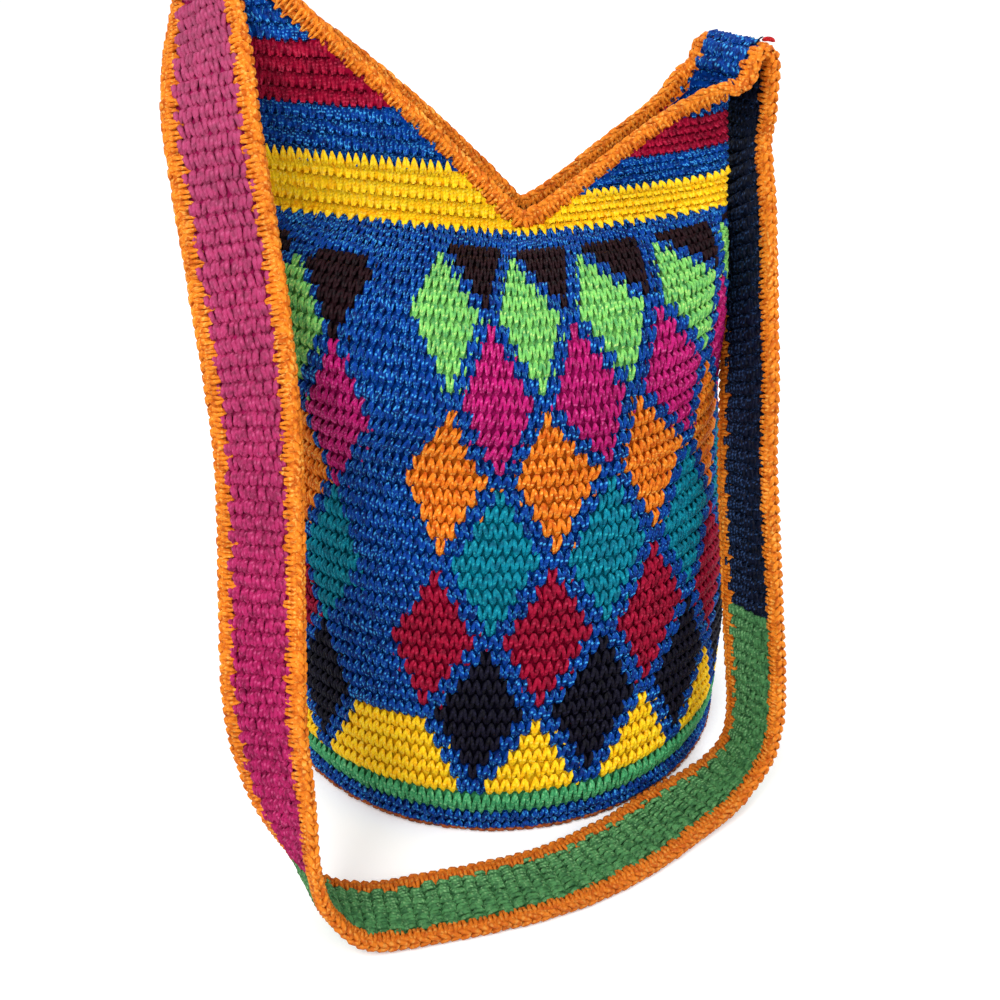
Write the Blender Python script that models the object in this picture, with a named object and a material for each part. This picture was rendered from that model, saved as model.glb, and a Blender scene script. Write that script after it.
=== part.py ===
"""Crochet shoulder purse, standing full on its round base.

The bag is one worked shell: a flat round base, a bucket wall of forty-one courses that closes to
a narrow mouth, and two striped ears that rise to the ends of a flat strap. Two braided edgings,
front and back, each run in one loop round the mouth and along one edge of the strap.

Metres, +Z up, origin at the centre of the base. +X is the bag's right, -Y its front.
"""

import math
from bisect import bisect_right

import bmesh
import bpy
from mathutils import Vector

MM = 0.001

# Sizes of the bag
BASE_RADIUS = 90 * MM
ROUTE_UNIT = BASE_RADIUS / 90
BELLY_HALF_WIDTH = 93 * MM
BELLY_HALF_DEPTH = 86 * MM
BELLY_HEIGHT = 62 * MM
SHOULDER_HALF_WIDTH = 84 * MM
SHOULDER_HALF_DEPTH = 76 * MM
SHOULDER_HEIGHT = 170 * MM
MOUTH_HEIGHT = 214 * MM
MOUTH_HALF_WIDTH = 83 * MM
MOUTH_HALF_DEPTH = 11 * MM
MOUTH_SET_FORWARD = 13 * MM
MOUTH_DIP_X = 12 * MM
DIP_ROUND = 0.15
SQUARENESS = 0.6
RIGHT_SIDE_LIFT = 6 * MM
LEFT_SIDE_LIFT = 11 * MM
FABRIC = 4.0 * MM
BELLY_SWELL = 2 * MM
FOOT_HEIGHT = 0.6 * MM
FOOT_SET_IN = 2.5 * MM
COURSE_RELIEF = 0.5 * MM

# Sizes of the two ears
RIGHT_EAR_HEIGHT = 48 * MM
LEFT_EAR_HEIGHT = 88 * MM
EAR_TIP_X = 83 * MM
EAR_TIP_FORWARD = 3 * MM
RIGHT_EAR_TURN = math.radians(35)
LEFT_EAR_TURN = math.radians(45)
EAR_TWIST_POWER = 4
RIGHT_EAR_SWEEP = 1.15
LEFT_EAR_SWEEP = 1.35
EAR_TIP_FOLD = 1 * MM
EAR_FLAT_REACH = 2 * MM
EAR_ROUND_REACH = 12 * MM

# Sizes of the strap and the edging
STRAP_WIDTH = 31 * MM
STRAP_THICKNESS = 3.6 * MM
STRAP_FOLD_RADIUS = 4.8 * MM
EDGING_WIDTH = 5.0 * MM
EDGING_THICKNESS = 4.4 * MM
EDGING_STEP = 14 * MM
EDGING_SIDES = 5
EDGING_BEND = 0.07
EDGING_SIDE_BEND = 0.3
EDGING_TWIST = 0.17
CORNER_SWING = 1.6 * FABRIC
SWING_OUT_FROM = 0.7
SWING_BACK_FROM = 0.85
SWING_BACK = 0.8
YARN_END_LENGTH = 6 * MM
YARN_END_DIAMETER = 1.6 * MM
YARN_END_LEAN = math.radians(12)
CLEARANCE = 0.3 * MM

# The worked pattern, counted in stitches and courses
STITCHES = 173
BAG_COURSES = 41
EAR_COURSES = 12
STRAP_COURSES = 118
REPEAT = 12
REPEATS = 14
DIAMOND_HALF_WIDTH = 4.6
FIRST_DIAMOND = -6
BAND_PITCH = 5
JOIN_EXTRA = 5
LEAN_FROM_COURSE = 29
LEAN_PER_COURSE = 0.62
DRIFT_FROM_COURSE = 13
DRIFT_PER_COURSE = 0.1

# Centre course and yarn of each band of diamonds, from the base up; bands alternate by half a repeat
BANDS = [
    (3, "yellow"), (8, "black"), (13, "crimson"), (18, "teal"),
    (23, "orange"), (28, "magenta"), (33, "lime"), (38, "brown"),
]
INNER_RINGS = [0, 9, 17, 22, 27, 32, 37, BAG_COURSES]
EAR_INNER_COURSES = [1, 2, 4, 8, 10, 11, 12]
RIM_COURSES = [1, 2, 3, 4, 5, 6, 7, 8, 9, 9.6, 10.2, 10.8, 11.4]
BASE_COURSES = ["rust", "blue", "green"]
EAR_STRIPES = ["yellow", "blue", "crimson", "blue"]
# Yarns of the strap from the right ear, with the share of its length where each starts
STRAP_YARNS = [("blue", 0), ("navy", 0.02), ("green", 0.275), ("magenta", 0.60)]

YARNS = {
    "blue": (0.010, 0.060, 0.240), "yellow": (0.850, 0.540, 0.015), "black": (0.008, 0.007, 0.016),
    "crimson": (0.340, 0.008, 0.035), "teal": (0.004, 0.240, 0.250), "orange": (0.850, 0.220, 0.025),
    "magenta": (0.440, 0.012, 0.150), "lime": (0.160, 0.560, 0.090), "brown": (0.028, 0.012, 0.016),
    "green": (0.050, 0.290, 0.110), "rust": (0.420, 0.100, 0.015), "navy": (0.009, 0.014, 0.040),
    "red": (0.600, 0.010, 0.015),
}

# Route of the strap from the right ear to the left: degrees round the bag from its front, share of
# the ear's height, distance out from the belly in ninetieths of the base radius (all mid-strap), and
# the way from the strap's back edge to its front edge as degrees from straight forward and of rise.
STRAP_ROUTE = [
    (92, 0.904, -1, 22, 12), (83, 0.812, 0, 25, 14), (74, 0.716, 3, 27, 17),
    (67, 0.619, 8, 27, 18), (62, 0.531, 12, 27, 18), (60, 0.434, 16, 29, 18),
    (58.5, 0.310, 21, 31, 18), (57.5, 0.208, 25, 31, 18), (57, 0.119, 27, 27, 18),
    (55, 0.056, 26, 23, 16), (49, 0.0, 22, 22, 8), (38, 0.0, 21, 27, 2),
    (24, 0.0, 26, 20, 0), (11, 0.0, 33, 12, 0), (0, 0.0, 39, 2, 0),
    (-11, 0.0, 47, -4, 0), (-19.5, 0.0, 57, 2, 5), (-24.5, 0.053, 64, 14, 22),
    (-26.5, 0.111, 66, 26, 26), (-28.5, 0.159, 64, 46, 20), (-30.5, 0.207, 61, 58, 12),
    (-32.5, 0.270, 57, 66, 9), (-34.5, 0.344, 49, 70, 8), (-37.5, 0.460, 37, 70, 9),
    (-40.5, 0.555, 28, 72, 8), (-44, 0.639, 22, 78, 5), (-49, 0.715, 16, 84, 3),
    (-55, 0.796, 11, 84, 2), (-61, 0.872, 7, 78, 1),
]


def smooth(value, low, high):
    """Ease from 0 at low to 1 at high."""
    share = min(max((value - low) / (high - low), 0.0), 1.0)
    return share * share * (3 - 2 * share)


def spline(points, share):
    """Point at a share of the index range of a Catmull-Rom curve through the points."""
    place = min(max(share, 0.0), 1.0) * (len(points) - 1)
    first = min(int(place), len(points) - 2)
    t = place - first
    p1, p2 = points[first], points[first + 1]
    p0 = points[first - 1] if first > 0 else p1 * 2 - p2
    p3 = points[first + 2] if first + 2 < len(points) else p2 * 2 - p1
    return 0.5 * (2 * p1 + (p2 - p0) * t + (2 * p0 - 5 * p1 + 4 * p2 - p3) * t * t
                  + (3 * p1 - p0 - 3 * p2 + p3) * t ** 3)


def even_curve(points, count, samples=40):
    """Resample a curve through the points at count places, evenly along its length."""
    steps = samples * (len(points) - 1)
    fine = [spline(points, step / steps) for step in range(steps + 1)]
    lengths = [0.0]
    for start, end in zip(fine, fine[1:]):
        lengths.append(lengths[-1] + (end - start).length)
    result = []
    for step in range(count):
        target = lengths[-1] * step / (count - 1)
        index = min(bisect_right(lengths, target) - 1, steps - 1)
        rest = (target - lengths[index]) / max(lengths[index + 1] - lengths[index], 1e-12)
        result.append(fine[index].lerp(fine[index + 1], rest))
    return result


# Shape of the bag's wall


def wall_profile():
    """Half depth and height of the wall from the base edge to the mouth, one point a ring."""
    outline = [
        (BASE_RADIUS - 3 * CLEARANCE, FOOT_HEIGHT),
        (BASE_RADIUS + 0.35 * (BELLY_HALF_DEPTH - BASE_RADIUS) + BELLY_SWELL, 0.26 * BELLY_HEIGHT),
        (BELLY_HALF_DEPTH + BELLY_SWELL, 0.6 * BELLY_HEIGHT),
        (BELLY_HALF_DEPTH, BELLY_HEIGHT),
        (0.6 * BELLY_HALF_DEPTH + 0.4 * SHOULDER_HALF_DEPTH, 0.6 * BELLY_HEIGHT + 0.4 * SHOULDER_HEIGHT),
        (0.1 * BELLY_HALF_DEPTH + 0.9 * SHOULDER_HALF_DEPTH, 0.3 * BELLY_HEIGHT + 0.7 * SHOULDER_HEIGHT),
        (SHOULDER_HALF_DEPTH, SHOULDER_HEIGHT),
        (0.72 * SHOULDER_HALF_DEPTH + 0.28 * MOUTH_HALF_DEPTH, 0.40 * SHOULDER_HEIGHT + 0.60 * MOUTH_HEIGHT),
        (0.38 * SHOULDER_HALF_DEPTH + 0.62 * MOUTH_HALF_DEPTH, 0.13 * SHOULDER_HEIGHT + 0.87 * MOUTH_HEIGHT),
        (MOUTH_HALF_DEPTH, MOUTH_HEIGHT),
    ]
    return even_curve([Vector((depth, 0, height)) for depth, height in outline], BAG_COURSES + 1)


def half_width(height):
    """Half width of the bag at a height."""
    low = BASE_RADIUS + (BELLY_HALF_WIDTH - BASE_RADIUS) * smooth(height, -0.3 * BELLY_HEIGHT, BELLY_HEIGHT)
    middle = low + (SHOULDER_HALF_WIDTH - BELLY_HALF_WIDTH) * smooth(height, BELLY_HEIGHT, SHOULDER_HEIGHT)
    return middle + (MOUTH_HALF_WIDTH - SHOULDER_HALF_WIDTH) * smooth(height, SHOULDER_HEIGHT, MOUTH_HEIGHT)


def section_point(side, angle, centre, reach, half_depth, turn=0.0, lift=0.0, squareness=SQUARENESS):
    """Point on one half section: angle -90 at its back end, 0 at the side, 90 at its front end."""
    power = 2 / (2 + squareness)
    cosine = abs(math.cos(angle)) ** power
    out = side * reach * cosine
    along = -half_depth * math.copysign(abs(math.sin(angle)) ** power, angle)
    return centre + Vector((out * math.cos(turn) - along * math.sin(turn),
                            out * math.sin(turn) + along * math.cos(turn), lift * cosine))


class Ring:
    """One closed course of the wall, measured in stitches from its front centre to the right."""

    STEPS = 180

    def __init__(self, half_depth, height, lean, inset=0.0):
        """Section at a height; lean is the wall's angle from upright, inset its depth under the face."""
        rising = smooth(height, 0.6 * SHOULDER_HEIGHT, MOUTH_HEIGHT)
        closing = smooth(height, 0.8 * SHOULDER_HEIGHT, MOUTH_HEIGHT)
        self.centre = Vector((MOUTH_DIP_X * rising, -MOUTH_SET_FORWARD * closing, height))
        self.width = half_width(height) - inset
        self.half_depth = half_depth - inset * math.cos(lean)
        self.lifts = {1: RIGHT_SIDE_LIFT * closing + inset * math.sin(lean),
                      -1: LEFT_SIDE_LIFT * closing + inset * math.sin(lean)}
        self.centre.z -= inset * math.sin(lean)
        self.squareness = SQUARENESS * closing
        self.angles = [math.pi / 2 - math.pi * step / self.STEPS for step in range(2 * self.STEPS + 1)]
        points = [self.at_angle(angle) for angle in self.angles]
        self.lengths = [0.0]
        for start, end in zip(points, points[1:]):
            self.lengths.append(self.lengths[-1] + (end - start).length)
        front = 2 * self.STEPS
        while front > self.STEPS and points[front].x > 0:
            front -= 1
        self.start = self.lengths[front]

    def at_angle(self, angle):
        """Point at an angle that falls from 90 at the front dip, by the right side, back to -270."""
        side = 1 if angle >= -math.pi / 2 else -1
        reach = self.width - side * self.centre.x
        own_angle = angle if side > 0 else -math.pi - angle
        return section_point(side, own_angle, self.centre, reach, self.half_depth, 0.0,
                             self.lifts[side], self.squareness)

    def at_stitch(self, stitch):
        """Point at a stitch count from the front centre."""
        total = self.lengths[-1]
        target = (self.start + stitch / STITCHES * total) % total
        index = min(bisect_right(self.lengths, target) - 1, 2 * self.STEPS - 1)
        rest = (target - self.lengths[index]) / (self.lengths[index + 1] - self.lengths[index])
        return self.at_angle(self.angles[index] + (self.angles[index + 1] - self.angles[index]) * rest)

    def dip_stitches(self):
        """Stitch counts of the front dip and of the back dip."""
        total = self.lengths[-1]
        front = (total - self.start) / total * STITCHES
        back = (self.lengths[self.STEPS] + total - self.start) / total * STITCHES
        return front, back


class Ear:
    """One of the two ears: a half section that narrows to the strap's end as it rises."""

    def __init__(self, side):
        self.side = side
        right = side > 0
        self.rise = RIGHT_EAR_HEIGHT if right else LEFT_EAR_HEIGHT
        self.turn = RIGHT_EAR_TURN if right else LEFT_EAR_TURN
        self.tip_forward = EAR_TIP_FORWARD if right else MOUTH_SET_FORWARD
        self.sweep = RIGHT_EAR_SWEEP if right else LEFT_EAR_SWEEP
        self.lift = RIGHT_SIDE_LIFT if right else LEFT_SIDE_LIFT

    def point(self, share, angle, inset=0.0):
        """Point at a share of the ear's height and an angle from back rim to front rim."""
        spread = (math.sqrt((share + DIP_ROUND) ** 2 - DIP_ROUND ** 2)
                  / math.sqrt((1 + DIP_ROUND) ** 2 - DIP_ROUND ** 2)) ** self.sweep
        centre_x = MOUTH_DIP_X + (self.side * EAR_TIP_X - MOUTH_DIP_X) * spread
        centre_y = -MOUTH_SET_FORWARD + (MOUTH_SET_FORWARD - self.tip_forward) * share
        reach = (MOUTH_HALF_WIDTH - self.side * MOUTH_DIP_X) * (1 - spread) + EAR_TIP_FOLD
        tip_half = STRAP_WIDTH / 2 - EDGING_WIDTH - 3 * CLEARANCE
        half_depth = MOUTH_HALF_DEPTH + (tip_half - MOUTH_HALF_DEPTH) * smooth(share, 0.3, 1)
        folded = smooth(reach, EAR_FLAT_REACH, EAR_ROUND_REACH)
        turn = self.turn * share ** EAR_TWIST_POWER
        centre = Vector((centre_x, centre_y, MOUTH_HEIGHT + self.rise * share))
        place = section_point(self.side, angle, centre, reach - inset, half_depth - inset * folded, turn,
                              self.lift * (1 - share))
        flat = inset * (1 - folded) * (1 - abs(math.cos(angle)) ** (2 / (2 + SQUARENESS)))
        return place - Vector((math.cos(turn), math.sin(turn), 0)) * self.side * flat

    def tip(self):
        """Middle of the ear's top edge, the way its strap leaves outwards, and the way to its front rim."""
        forward = Vector((math.sin(self.turn), -math.cos(self.turn), 0))
        outward = Vector((math.cos(self.turn), math.sin(self.turn), 0)) * self.side
        return self.point(1, 0, FABRIC / 2), outward, forward


# Pattern of the wall


def band_of(course, odd):
    """Band whose diamonds a column holds at a course, or None between bands."""
    for index, (centre, yarn) in enumerate(BANDS):
        if index % 2 == (0 if odd else 1) and abs(course - centre) < BAND_PITCH:
            if course < BANDS[0][0] or course > BANDS[-1][0]:
                return None
            return index
    return None


def diamond_half_width(ring, odd):
    """Half width in stitches of the diamonds that a ring crosses, never quite nothing."""
    centres = [centre + 0.5 for index, (centre, yarn) in enumerate(BANDS) if index % 2 == (0 if odd else 1)]
    nearest = min(abs(ring - centre) for centre in centres)
    return max(DIAMOND_HALF_WIDTH - nearest, 0.35)


def column_edges(ring):
    """Stitch counts of every column's left edge on a ring, following the diamonds' slanted sides."""
    lean = (DRIFT_PER_COURSE * max(ring - DRIFT_FROM_COURSE, 0)
            - LEAN_PER_COURSE * max(ring - LEAN_FROM_COURSE, 0))
    odd, even = diamond_half_width(ring, True), diamond_half_width(ring, False)
    edges = []
    for repeat in range(REPEATS):
        centre = FIRST_DIAMOND + REPEAT * repeat + lean
        wide = JOIN_EXTRA if repeat == 0 and ring <= BANDS[1][0] else 0
        edges += [centre - odd - wide, centre + odd]
        edges += [centre + REPEAT / 2 - even, centre + REPEAT / 2 + even]
    edges.append(edges[-1] + JOIN_EXTRA / 2 + 0.4)
    return edges


def column_yarn(column, course):
    """Yarn of one column at one course of the wall."""
    if course < len(BASE_COURSES):
        return BASE_COURSES[course]
    kind = column % 4
    if column == 4 * REPEATS or kind in (1, 3):
        return "blue"
    index = band_of(course, kind == 0)
    return "blue" if index is None else BANDS[index][1]


# Meshes


def materials_for(names):
    """One material for each yarn, made once."""
    result = []
    for name in names:
        material = bpy.data.materials.get(name + " yarn")
        if material is None:
            material = bpy.data.materials.new(name + " yarn")
            material.use_nodes = True
            shader = material.node_tree.nodes["Principled BSDF"]
            shader.inputs["Base Color"].default_value = (*YARNS[name], 1)
            shader.inputs["Roughness"].default_value = 0.85
            shader.inputs["Metallic"].default_value = 0.0
        result.append(material)
    return result


def add_object(name, mesh_builder, yarns, parts):
    """Turn a bmesh into a named object with its yarns as material slots."""
    mesh = bpy.data.meshes.new(name)
    bmesh.ops.recalc_face_normals(mesh_builder, faces=mesh_builder.faces)
    if mesh_builder.calc_volume(signed=True) < 0:
        bmesh.ops.reverse_faces(mesh_builder, faces=mesh_builder.faces)
    bmesh.ops.triangulate(mesh_builder, faces=mesh_builder.faces)
    mesh_builder.to_mesh(mesh)
    mesh_builder.free()
    for material in materials_for(yarns):
        mesh.materials.append(material)
    mesh.shade_smooth()
    mesh.set_sharp_from_angle(angle=math.radians(50))
    thing = bpy.data.objects.new(name, mesh)
    parts.objects.link(thing)
    return thing


def stitch_rows(builder, lower, upper, yarn_slots, closed):
    """Join two rows of vertices with quads, or a triangle where a pair is shared."""
    count = len(lower) if closed else len(lower) - 1
    for index in range(count):
        after = (index + 1) % len(lower)
        corners = []
        for vertex in (lower[index], lower[after], upper[after], upper[index]):
            if vertex not in corners:
                corners.append(vertex)
        if len(corners) > 2:
            face = builder.faces.new(corners)
            face.material_index = yarn_slots[index] if yarn_slots else 0


def wall_sections(inset):
    """Sections of the wall, one a ring, at a depth under its outer face."""
    profile = wall_profile()
    sections = []
    for index, point in enumerate(profile):
        run = profile[min(index + 1, BAG_COURSES)] - profile[max(index - 1, 0)]
        lean = math.atan2(-run.x, run.z) if index < BAG_COURSES else 0.0
        sections.append(Ring(point.x, point.z, lean, inset))
    return sections


def wall_rings():
    """The rings of the wall with the stitch counts of their columns, ending level at the mouth."""
    rings = wall_sections(0.0)
    edges = [column_edges(index) for index in range(BAG_COURSES + 1)]
    settle_from = BANDS[-1][0] + 1
    natural = edges[settle_from]
    front, back = rings[-1].dip_stitches()
    front_column = min(range(len(natural)), key=lambda i: abs(natural[i] - front))
    back_column = min(range(len(natural)), key=lambda i: abs(natural[i] - back))
    level = []
    for column in range(len(natural)):
        if front_column <= column <= back_column:
            share = (column - front_column) / (back_column - front_column)
            level.append(front + (back - front) * share)
        else:
            place = column - back_column if column > back_column else column - back_column + len(natural)
            share = place / (len(natural) - back_column + front_column)
            stitch = back + (front + STITCHES - back) * share
            level.append(stitch if column > back_column else stitch - STITCHES)
    for index in range(settle_from, BAG_COURSES + 1):
        share = (index - settle_from + 1) / (BAG_COURSES + 1 - settle_from)
        edges[index] = [a + (b - a) * share for a, b in zip(natural, level)]
    return rings, edges, front_column, back_column


def ear_angles(columns):
    """Angles of an ear's columns from back rim to front rim."""
    return [-math.pi / 2 + math.pi * step / columns for step in range(columns + 1)]


def spaced_angles(ear, share, columns):
    """Angles that space an ear's columns evenly along one of its courses."""
    fine = ear_angles(120)
    points = [ear.point(share, angle) for angle in fine]
    lengths = [0.0]
    for start, end in zip(points, points[1:]):
        lengths.append(lengths[-1] + (end - start).length)
    result = []
    for step in range(columns + 1):
        target = lengths[-1] * step / columns
        index = min(bisect_right(lengths, target) - 1, len(fine) - 2)
        rest = (target - lengths[index]) / (lengths[index + 1] - lengths[index])
        result.append(fine[index] + (fine[index + 1] - fine[index]) * rest)
    return result


def ring_normal(rings, index, stitch):
    """Way out of the bag at a stitch of a ring."""
    low, high = rings[max(index - 1, 0)], rings[min(index + 1, len(rings) - 1)]
    up = high.at_stitch(stitch) - low.at_stitch(stitch)
    round_way = rings[index].at_stitch(stitch + 0.4) - rings[index].at_stitch(stitch - 0.4)
    return round_way.cross(up).normalized()


def build_bag(parts):
    """The bag: base, patterned wall and ears outside, a plain wall inside, joined along the rim."""
    builder = bmesh.new()
    rings, edges, front_column, back_column = wall_rings()
    yarns = list(dict.fromkeys(["blue", *BASE_COURSES, *(yarn for _, yarn in BANDS), *EAR_STRIPES]))
    slot = {yarn: index for index, yarn in enumerate(yarns)}
    columns = len(edges[0])

    outer = []
    for index, ring in enumerate(rings):
        relief = COURSE_RELIEF / 2 * (1 if index % 2 else -1) if 2 < index < BAG_COURSES else 0
        row = []
        for stitch in edges[index]:
            point = ring.at_stitch(stitch)
            if relief:
                point = point + ring_normal(rings, index, stitch) * relief
            row.append(builder.verts.new(point))
        outer.append(row)
    for course in range(BAG_COURSES):
        slots = [slot[column_yarn(column, course)] for column in range(columns)]
        stitch_rows(builder, outer[course], outer[course + 1], slots, True)

    foot_radius = BASE_RADIUS - FOOT_SET_IN
    foot = [builder.verts.new((v.co.x * foot_radius / BASE_RADIUS, v.co.y * foot_radius / BASE_RADIUS, 0))
            for v in outer[0]]
    stitch_rows(builder, foot, outer[0], [slot["rust"]] * columns, True)
    hub = builder.verts.new((0, 0, 0))
    for index in range(columns):
        face = builder.faces.new((hub, foot[(index + 1) % columns], foot[index]))
        face.material_index = slot["blue"]

    inner_sections = wall_sections(FABRIC)
    inner = []
    for index in INNER_RINGS:
        stitches = edges[BAG_COURSES] if index > LEAN_FROM_COURSE else edges[0]
        inner.append([builder.verts.new(inner_sections[index].at_stitch(stitch)) for stitch in stitches])
    for vertex in inner[0]:
        vertex.co.z = FABRIC
    inner_hub = builder.verts.new((0, 0, FABRIC))
    for index in range(columns):
        builder.faces.new((inner_hub, inner[0][index], inner[0][(index + 1) % columns]))
    for lower, upper in zip(inner, inner[1:]):
        stitch_rows(builder, upper, lower, None, True)

    for side in (1, -1):
        build_ear(builder, Ear(side), outer[-1], inner[-1], front_column, back_column, slot)
    return add_object("bag_body", builder, yarns, parts)


def build_ear(builder, ear, outer_ring, inner_ring, front_column, back_column, slot):
    """One ear: its outer and inner courses and the rim that joins them."""
    columns = len(outer_ring)
    if ear.side > 0:
        order = [index % columns for index in range(back_column, front_column - 1, -1)]
    else:
        order = [index % columns for index in range(back_column, front_column + columns + 1)]
    outer, inner = [outer_ring[i] for i in order], [inner_ring[i] for i in order]
    rims = [(outer[0], inner[0], outer[-1], inner[-1])]
    for course in range(1, EAR_COURSES + 1):
        share = course / EAR_COURSES
        angles = spaced_angles(ear, share, len(order) - 1)
        places = [ear.point(share, angle) for angle in angles]
        new_outer = [builder.verts.new(place) for place in places]
        yarn = EAR_STRIPES[(course - 1) * len(EAR_STRIPES) // EAR_COURSES]
        stitch_rows(builder, outer, new_outer, [slot[yarn]] * len(order), False)
        outer = new_outer
        if course in EAR_INNER_COURSES:
            new_inner = [builder.verts.new(ear.point(share, angle, FABRIC)) for angle in angles]
            stitch_rows(builder, new_inner, inner, None, False)
            inner = new_inner
            rims.append((outer[0], inner[0], outer[-1], inner[-1]))
        else:
            rims.append((outer[0], None, outer[-1], None))
    close_rims(builder, rims)
    for index in range(len(order) - 1):
        builder.faces.new((outer[index], outer[index + 1], inner[index + 1], inner[index]))


def close_rims(builder, rims):
    """Fill each rim between the fine outer edge and the coarser inner edge."""
    anchors = [index for index, rim in enumerate(rims) if rim[1] is not None]
    for low, high in zip(anchors, anchors[1:]):
        for out_index, in_index in ((0, 1), (2, 3)):
            chain = [rims[index][out_index] for index in range(low, high + 1)]
            builder.faces.new(chain + [rims[high][in_index], rims[low][in_index]])


# Strap and edging


def belly_point(degrees, height, stand_off):
    """Point at an angle round from the front, a height, and a distance out from the belly."""
    angle = math.radians(degrees)
    radius = 1 / math.hypot(math.sin(angle) / BELLY_HALF_WIDTH, math.cos(angle) / BELLY_HALF_DEPTH)
    reach = radius + stand_off
    return Vector((reach * math.sin(angle), -reach * math.cos(angle), height))


def strap_stations():
    """Middle of the strap and the way across it, along its route from ear to ear."""
    middles, ways = [], []
    right, left = Ear(1), Ear(-1)
    for degrees, share, stand_off, turn, rise in STRAP_ROUTE:
        top = MOUTH_HEIGHT + (right.rise if degrees > 0 else left.rise)
        slant = math.radians(rise)
        on_floor = EDGING_THICKNESS / 2 + 2 * CLEARANCE + STRAP_WIDTH / 2 * math.sin(slant)
        middles.append(belly_point(degrees, max(share * top, on_floor), stand_off * ROUTE_UNIT))
        heading = math.radians(turn)
        ways.append(Vector((math.sin(heading), -math.cos(heading), math.tan(slant))).normalized())
    for ear in (right, left):
        fold, forward = strap_fold(ear)
        if ear is right:
            middles, ways = fold + middles, [forward] * len(fold) + ways
        else:
            middles, ways = middles + fold[::-1], ways + [forward] * len(fold)
    return middles, ways


def strap_fold(ear):
    """Points that take the strap up from an ear's tip, over, and down outside it, and the way across."""
    tip, outward, forward = ear.tip()
    up = Vector((0, 0, STRAP_FOLD_RADIUS))
    fold = [tip + Vector((0, 0, CLEARANCE)), tip + up]
    for step in (0.25, 0.5, 0.75, 1.0):
        angle = math.pi * step
        fold.append(tip + outward * STRAP_FOLD_RADIUS * (1 - math.cos(angle)) + up * (1 + math.sin(angle)))
    fold.append(tip + outward * (2 * STRAP_FOLD_RADIUS + CLEARANCE) - 2 * up)
    return fold, forward


def strap_frames():
    """Frames (middle, along, across, normal) of the strap, two a course, evenly along its route."""
    middles, ways = strap_stations()
    steps = 30 * (len(middles) - 1)
    fine = [spline(middles, step / steps) for step in range(steps + 1)]
    lengths = [0.0]
    for start, end in zip(fine, fine[1:]):
        lengths.append(lengths[-1] + (end - start).length)
    frames = []
    for step in range(2 * STRAP_COURSES + 1):
        target = lengths[-1] * step / (2 * STRAP_COURSES)
        index = min(bisect_right(lengths, target) - 1, steps - 1)
        rest = (target - lengths[index]) / max(lengths[index + 1] - lengths[index], 1e-12)
        along = (fine[index + 1] - fine[index]).normalized()
        across = spline(ways, (index + rest) / steps)
        across = (across - along * across.dot(along)).normalized()
        frames.append((fine[index].lerp(fine[index + 1], rest), along, across, along.cross(across)))
    return frames


def edging_frames():
    """The strap frames an edging needs: close together where the strap bends, far apart where straight."""
    frames = strap_frames()
    kept = [frames[0]]
    for frame in frames[1:-1]:
        middle, along, across, normal = kept[-1]
        bends = abs(frame[1].dot(across)) > EDGING_BEND or abs(frame[1].dot(normal)) > EDGING_SIDE_BEND
        twists = abs(frame[2].dot(normal)) > EDGING_TWIST
        if bends or twists or (frame[0] - middle).length > EDGING_STEP:
            kept.append(frame)
    return kept + [frames[-1]]


def sweep(builder, loops, closed, slots=None):
    """Skin a row of equal vertex loops into a tube, capped at its ends unless it closes on itself."""
    rows = [[builder.verts.new(point) for point in loop] for loop in loops]
    pairs = list(zip(rows, rows[1:])) + ([(rows[-1], rows[0])] if closed else [])
    for index, (lower, upper) in enumerate(pairs):
        slot = slots[index] if slots else 0
        stitch_rows(builder, lower, upper, [slot] * len(lower), True)
    if not closed:
        builder.faces.new(rows[0][::-1])
        builder.faces.new(rows[-1])


def build_strap(parts):
    """The flat strap between its edgings, with its courses as ridges and its lengths of yarn."""
    frames = strap_frames()
    half = STRAP_WIDTH / 2 - EDGING_WIDTH - 2 * CLEARANCE
    loops, slots = [], []
    for index, (middle, along, across, normal) in enumerate(frames):
        thick = STRAP_THICKNESS / 2 - (COURSE_RELIEF / 2 if index % 2 == 0 else 0)
        loops.append([middle + across * half + normal * thick, middle - across * half + normal * thick,
                      middle - across * half - normal * thick, middle + across * half - normal * thick])
        share = index / (len(frames) - 1)
        slots.append(sum(share > start for yarn, start in STRAP_YARNS[1:]))
    builder = bmesh.new()
    sweep(builder, loops, False, slots)
    return add_object("strap", builder, [yarn for yarn, start in STRAP_YARNS], parts)


def rim_path(ear, front):
    """Middle of the edging along an ear's rim, which swings past the tip's corner, and the way out."""
    angle = math.pi / 2 if front else -math.pi / 2
    offset = EDGING_WIDTH / 2 + 2 * CLEARANCE
    step = 1 / EAR_COURSES
    tip_way = ear.tip()[2] * (1 if front else -1)
    path = []
    for course in RIM_COURSES:
        share = course * step
        outer, inner = ear.point(share, angle), ear.point(share, angle, FABRIC)
        ahead = ear.point(min(share + step, 1.0), angle) - ear.point(share - step, angle)
        normal = (outer - inner).normalized()
        away = normal.cross(ahead).normalized()
        if away.dot(ear.point(share, angle * 0.9) - outer) > 0:
            away = -away
        swing = smooth(share, SWING_OUT_FROM, 1) * (1 - SWING_BACK * smooth(share, SWING_BACK_FROM, 1))
        path.append(((outer + inner) / 2 + away * offset + tip_way * swing * CORNER_SWING, normal))
    return path


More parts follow.
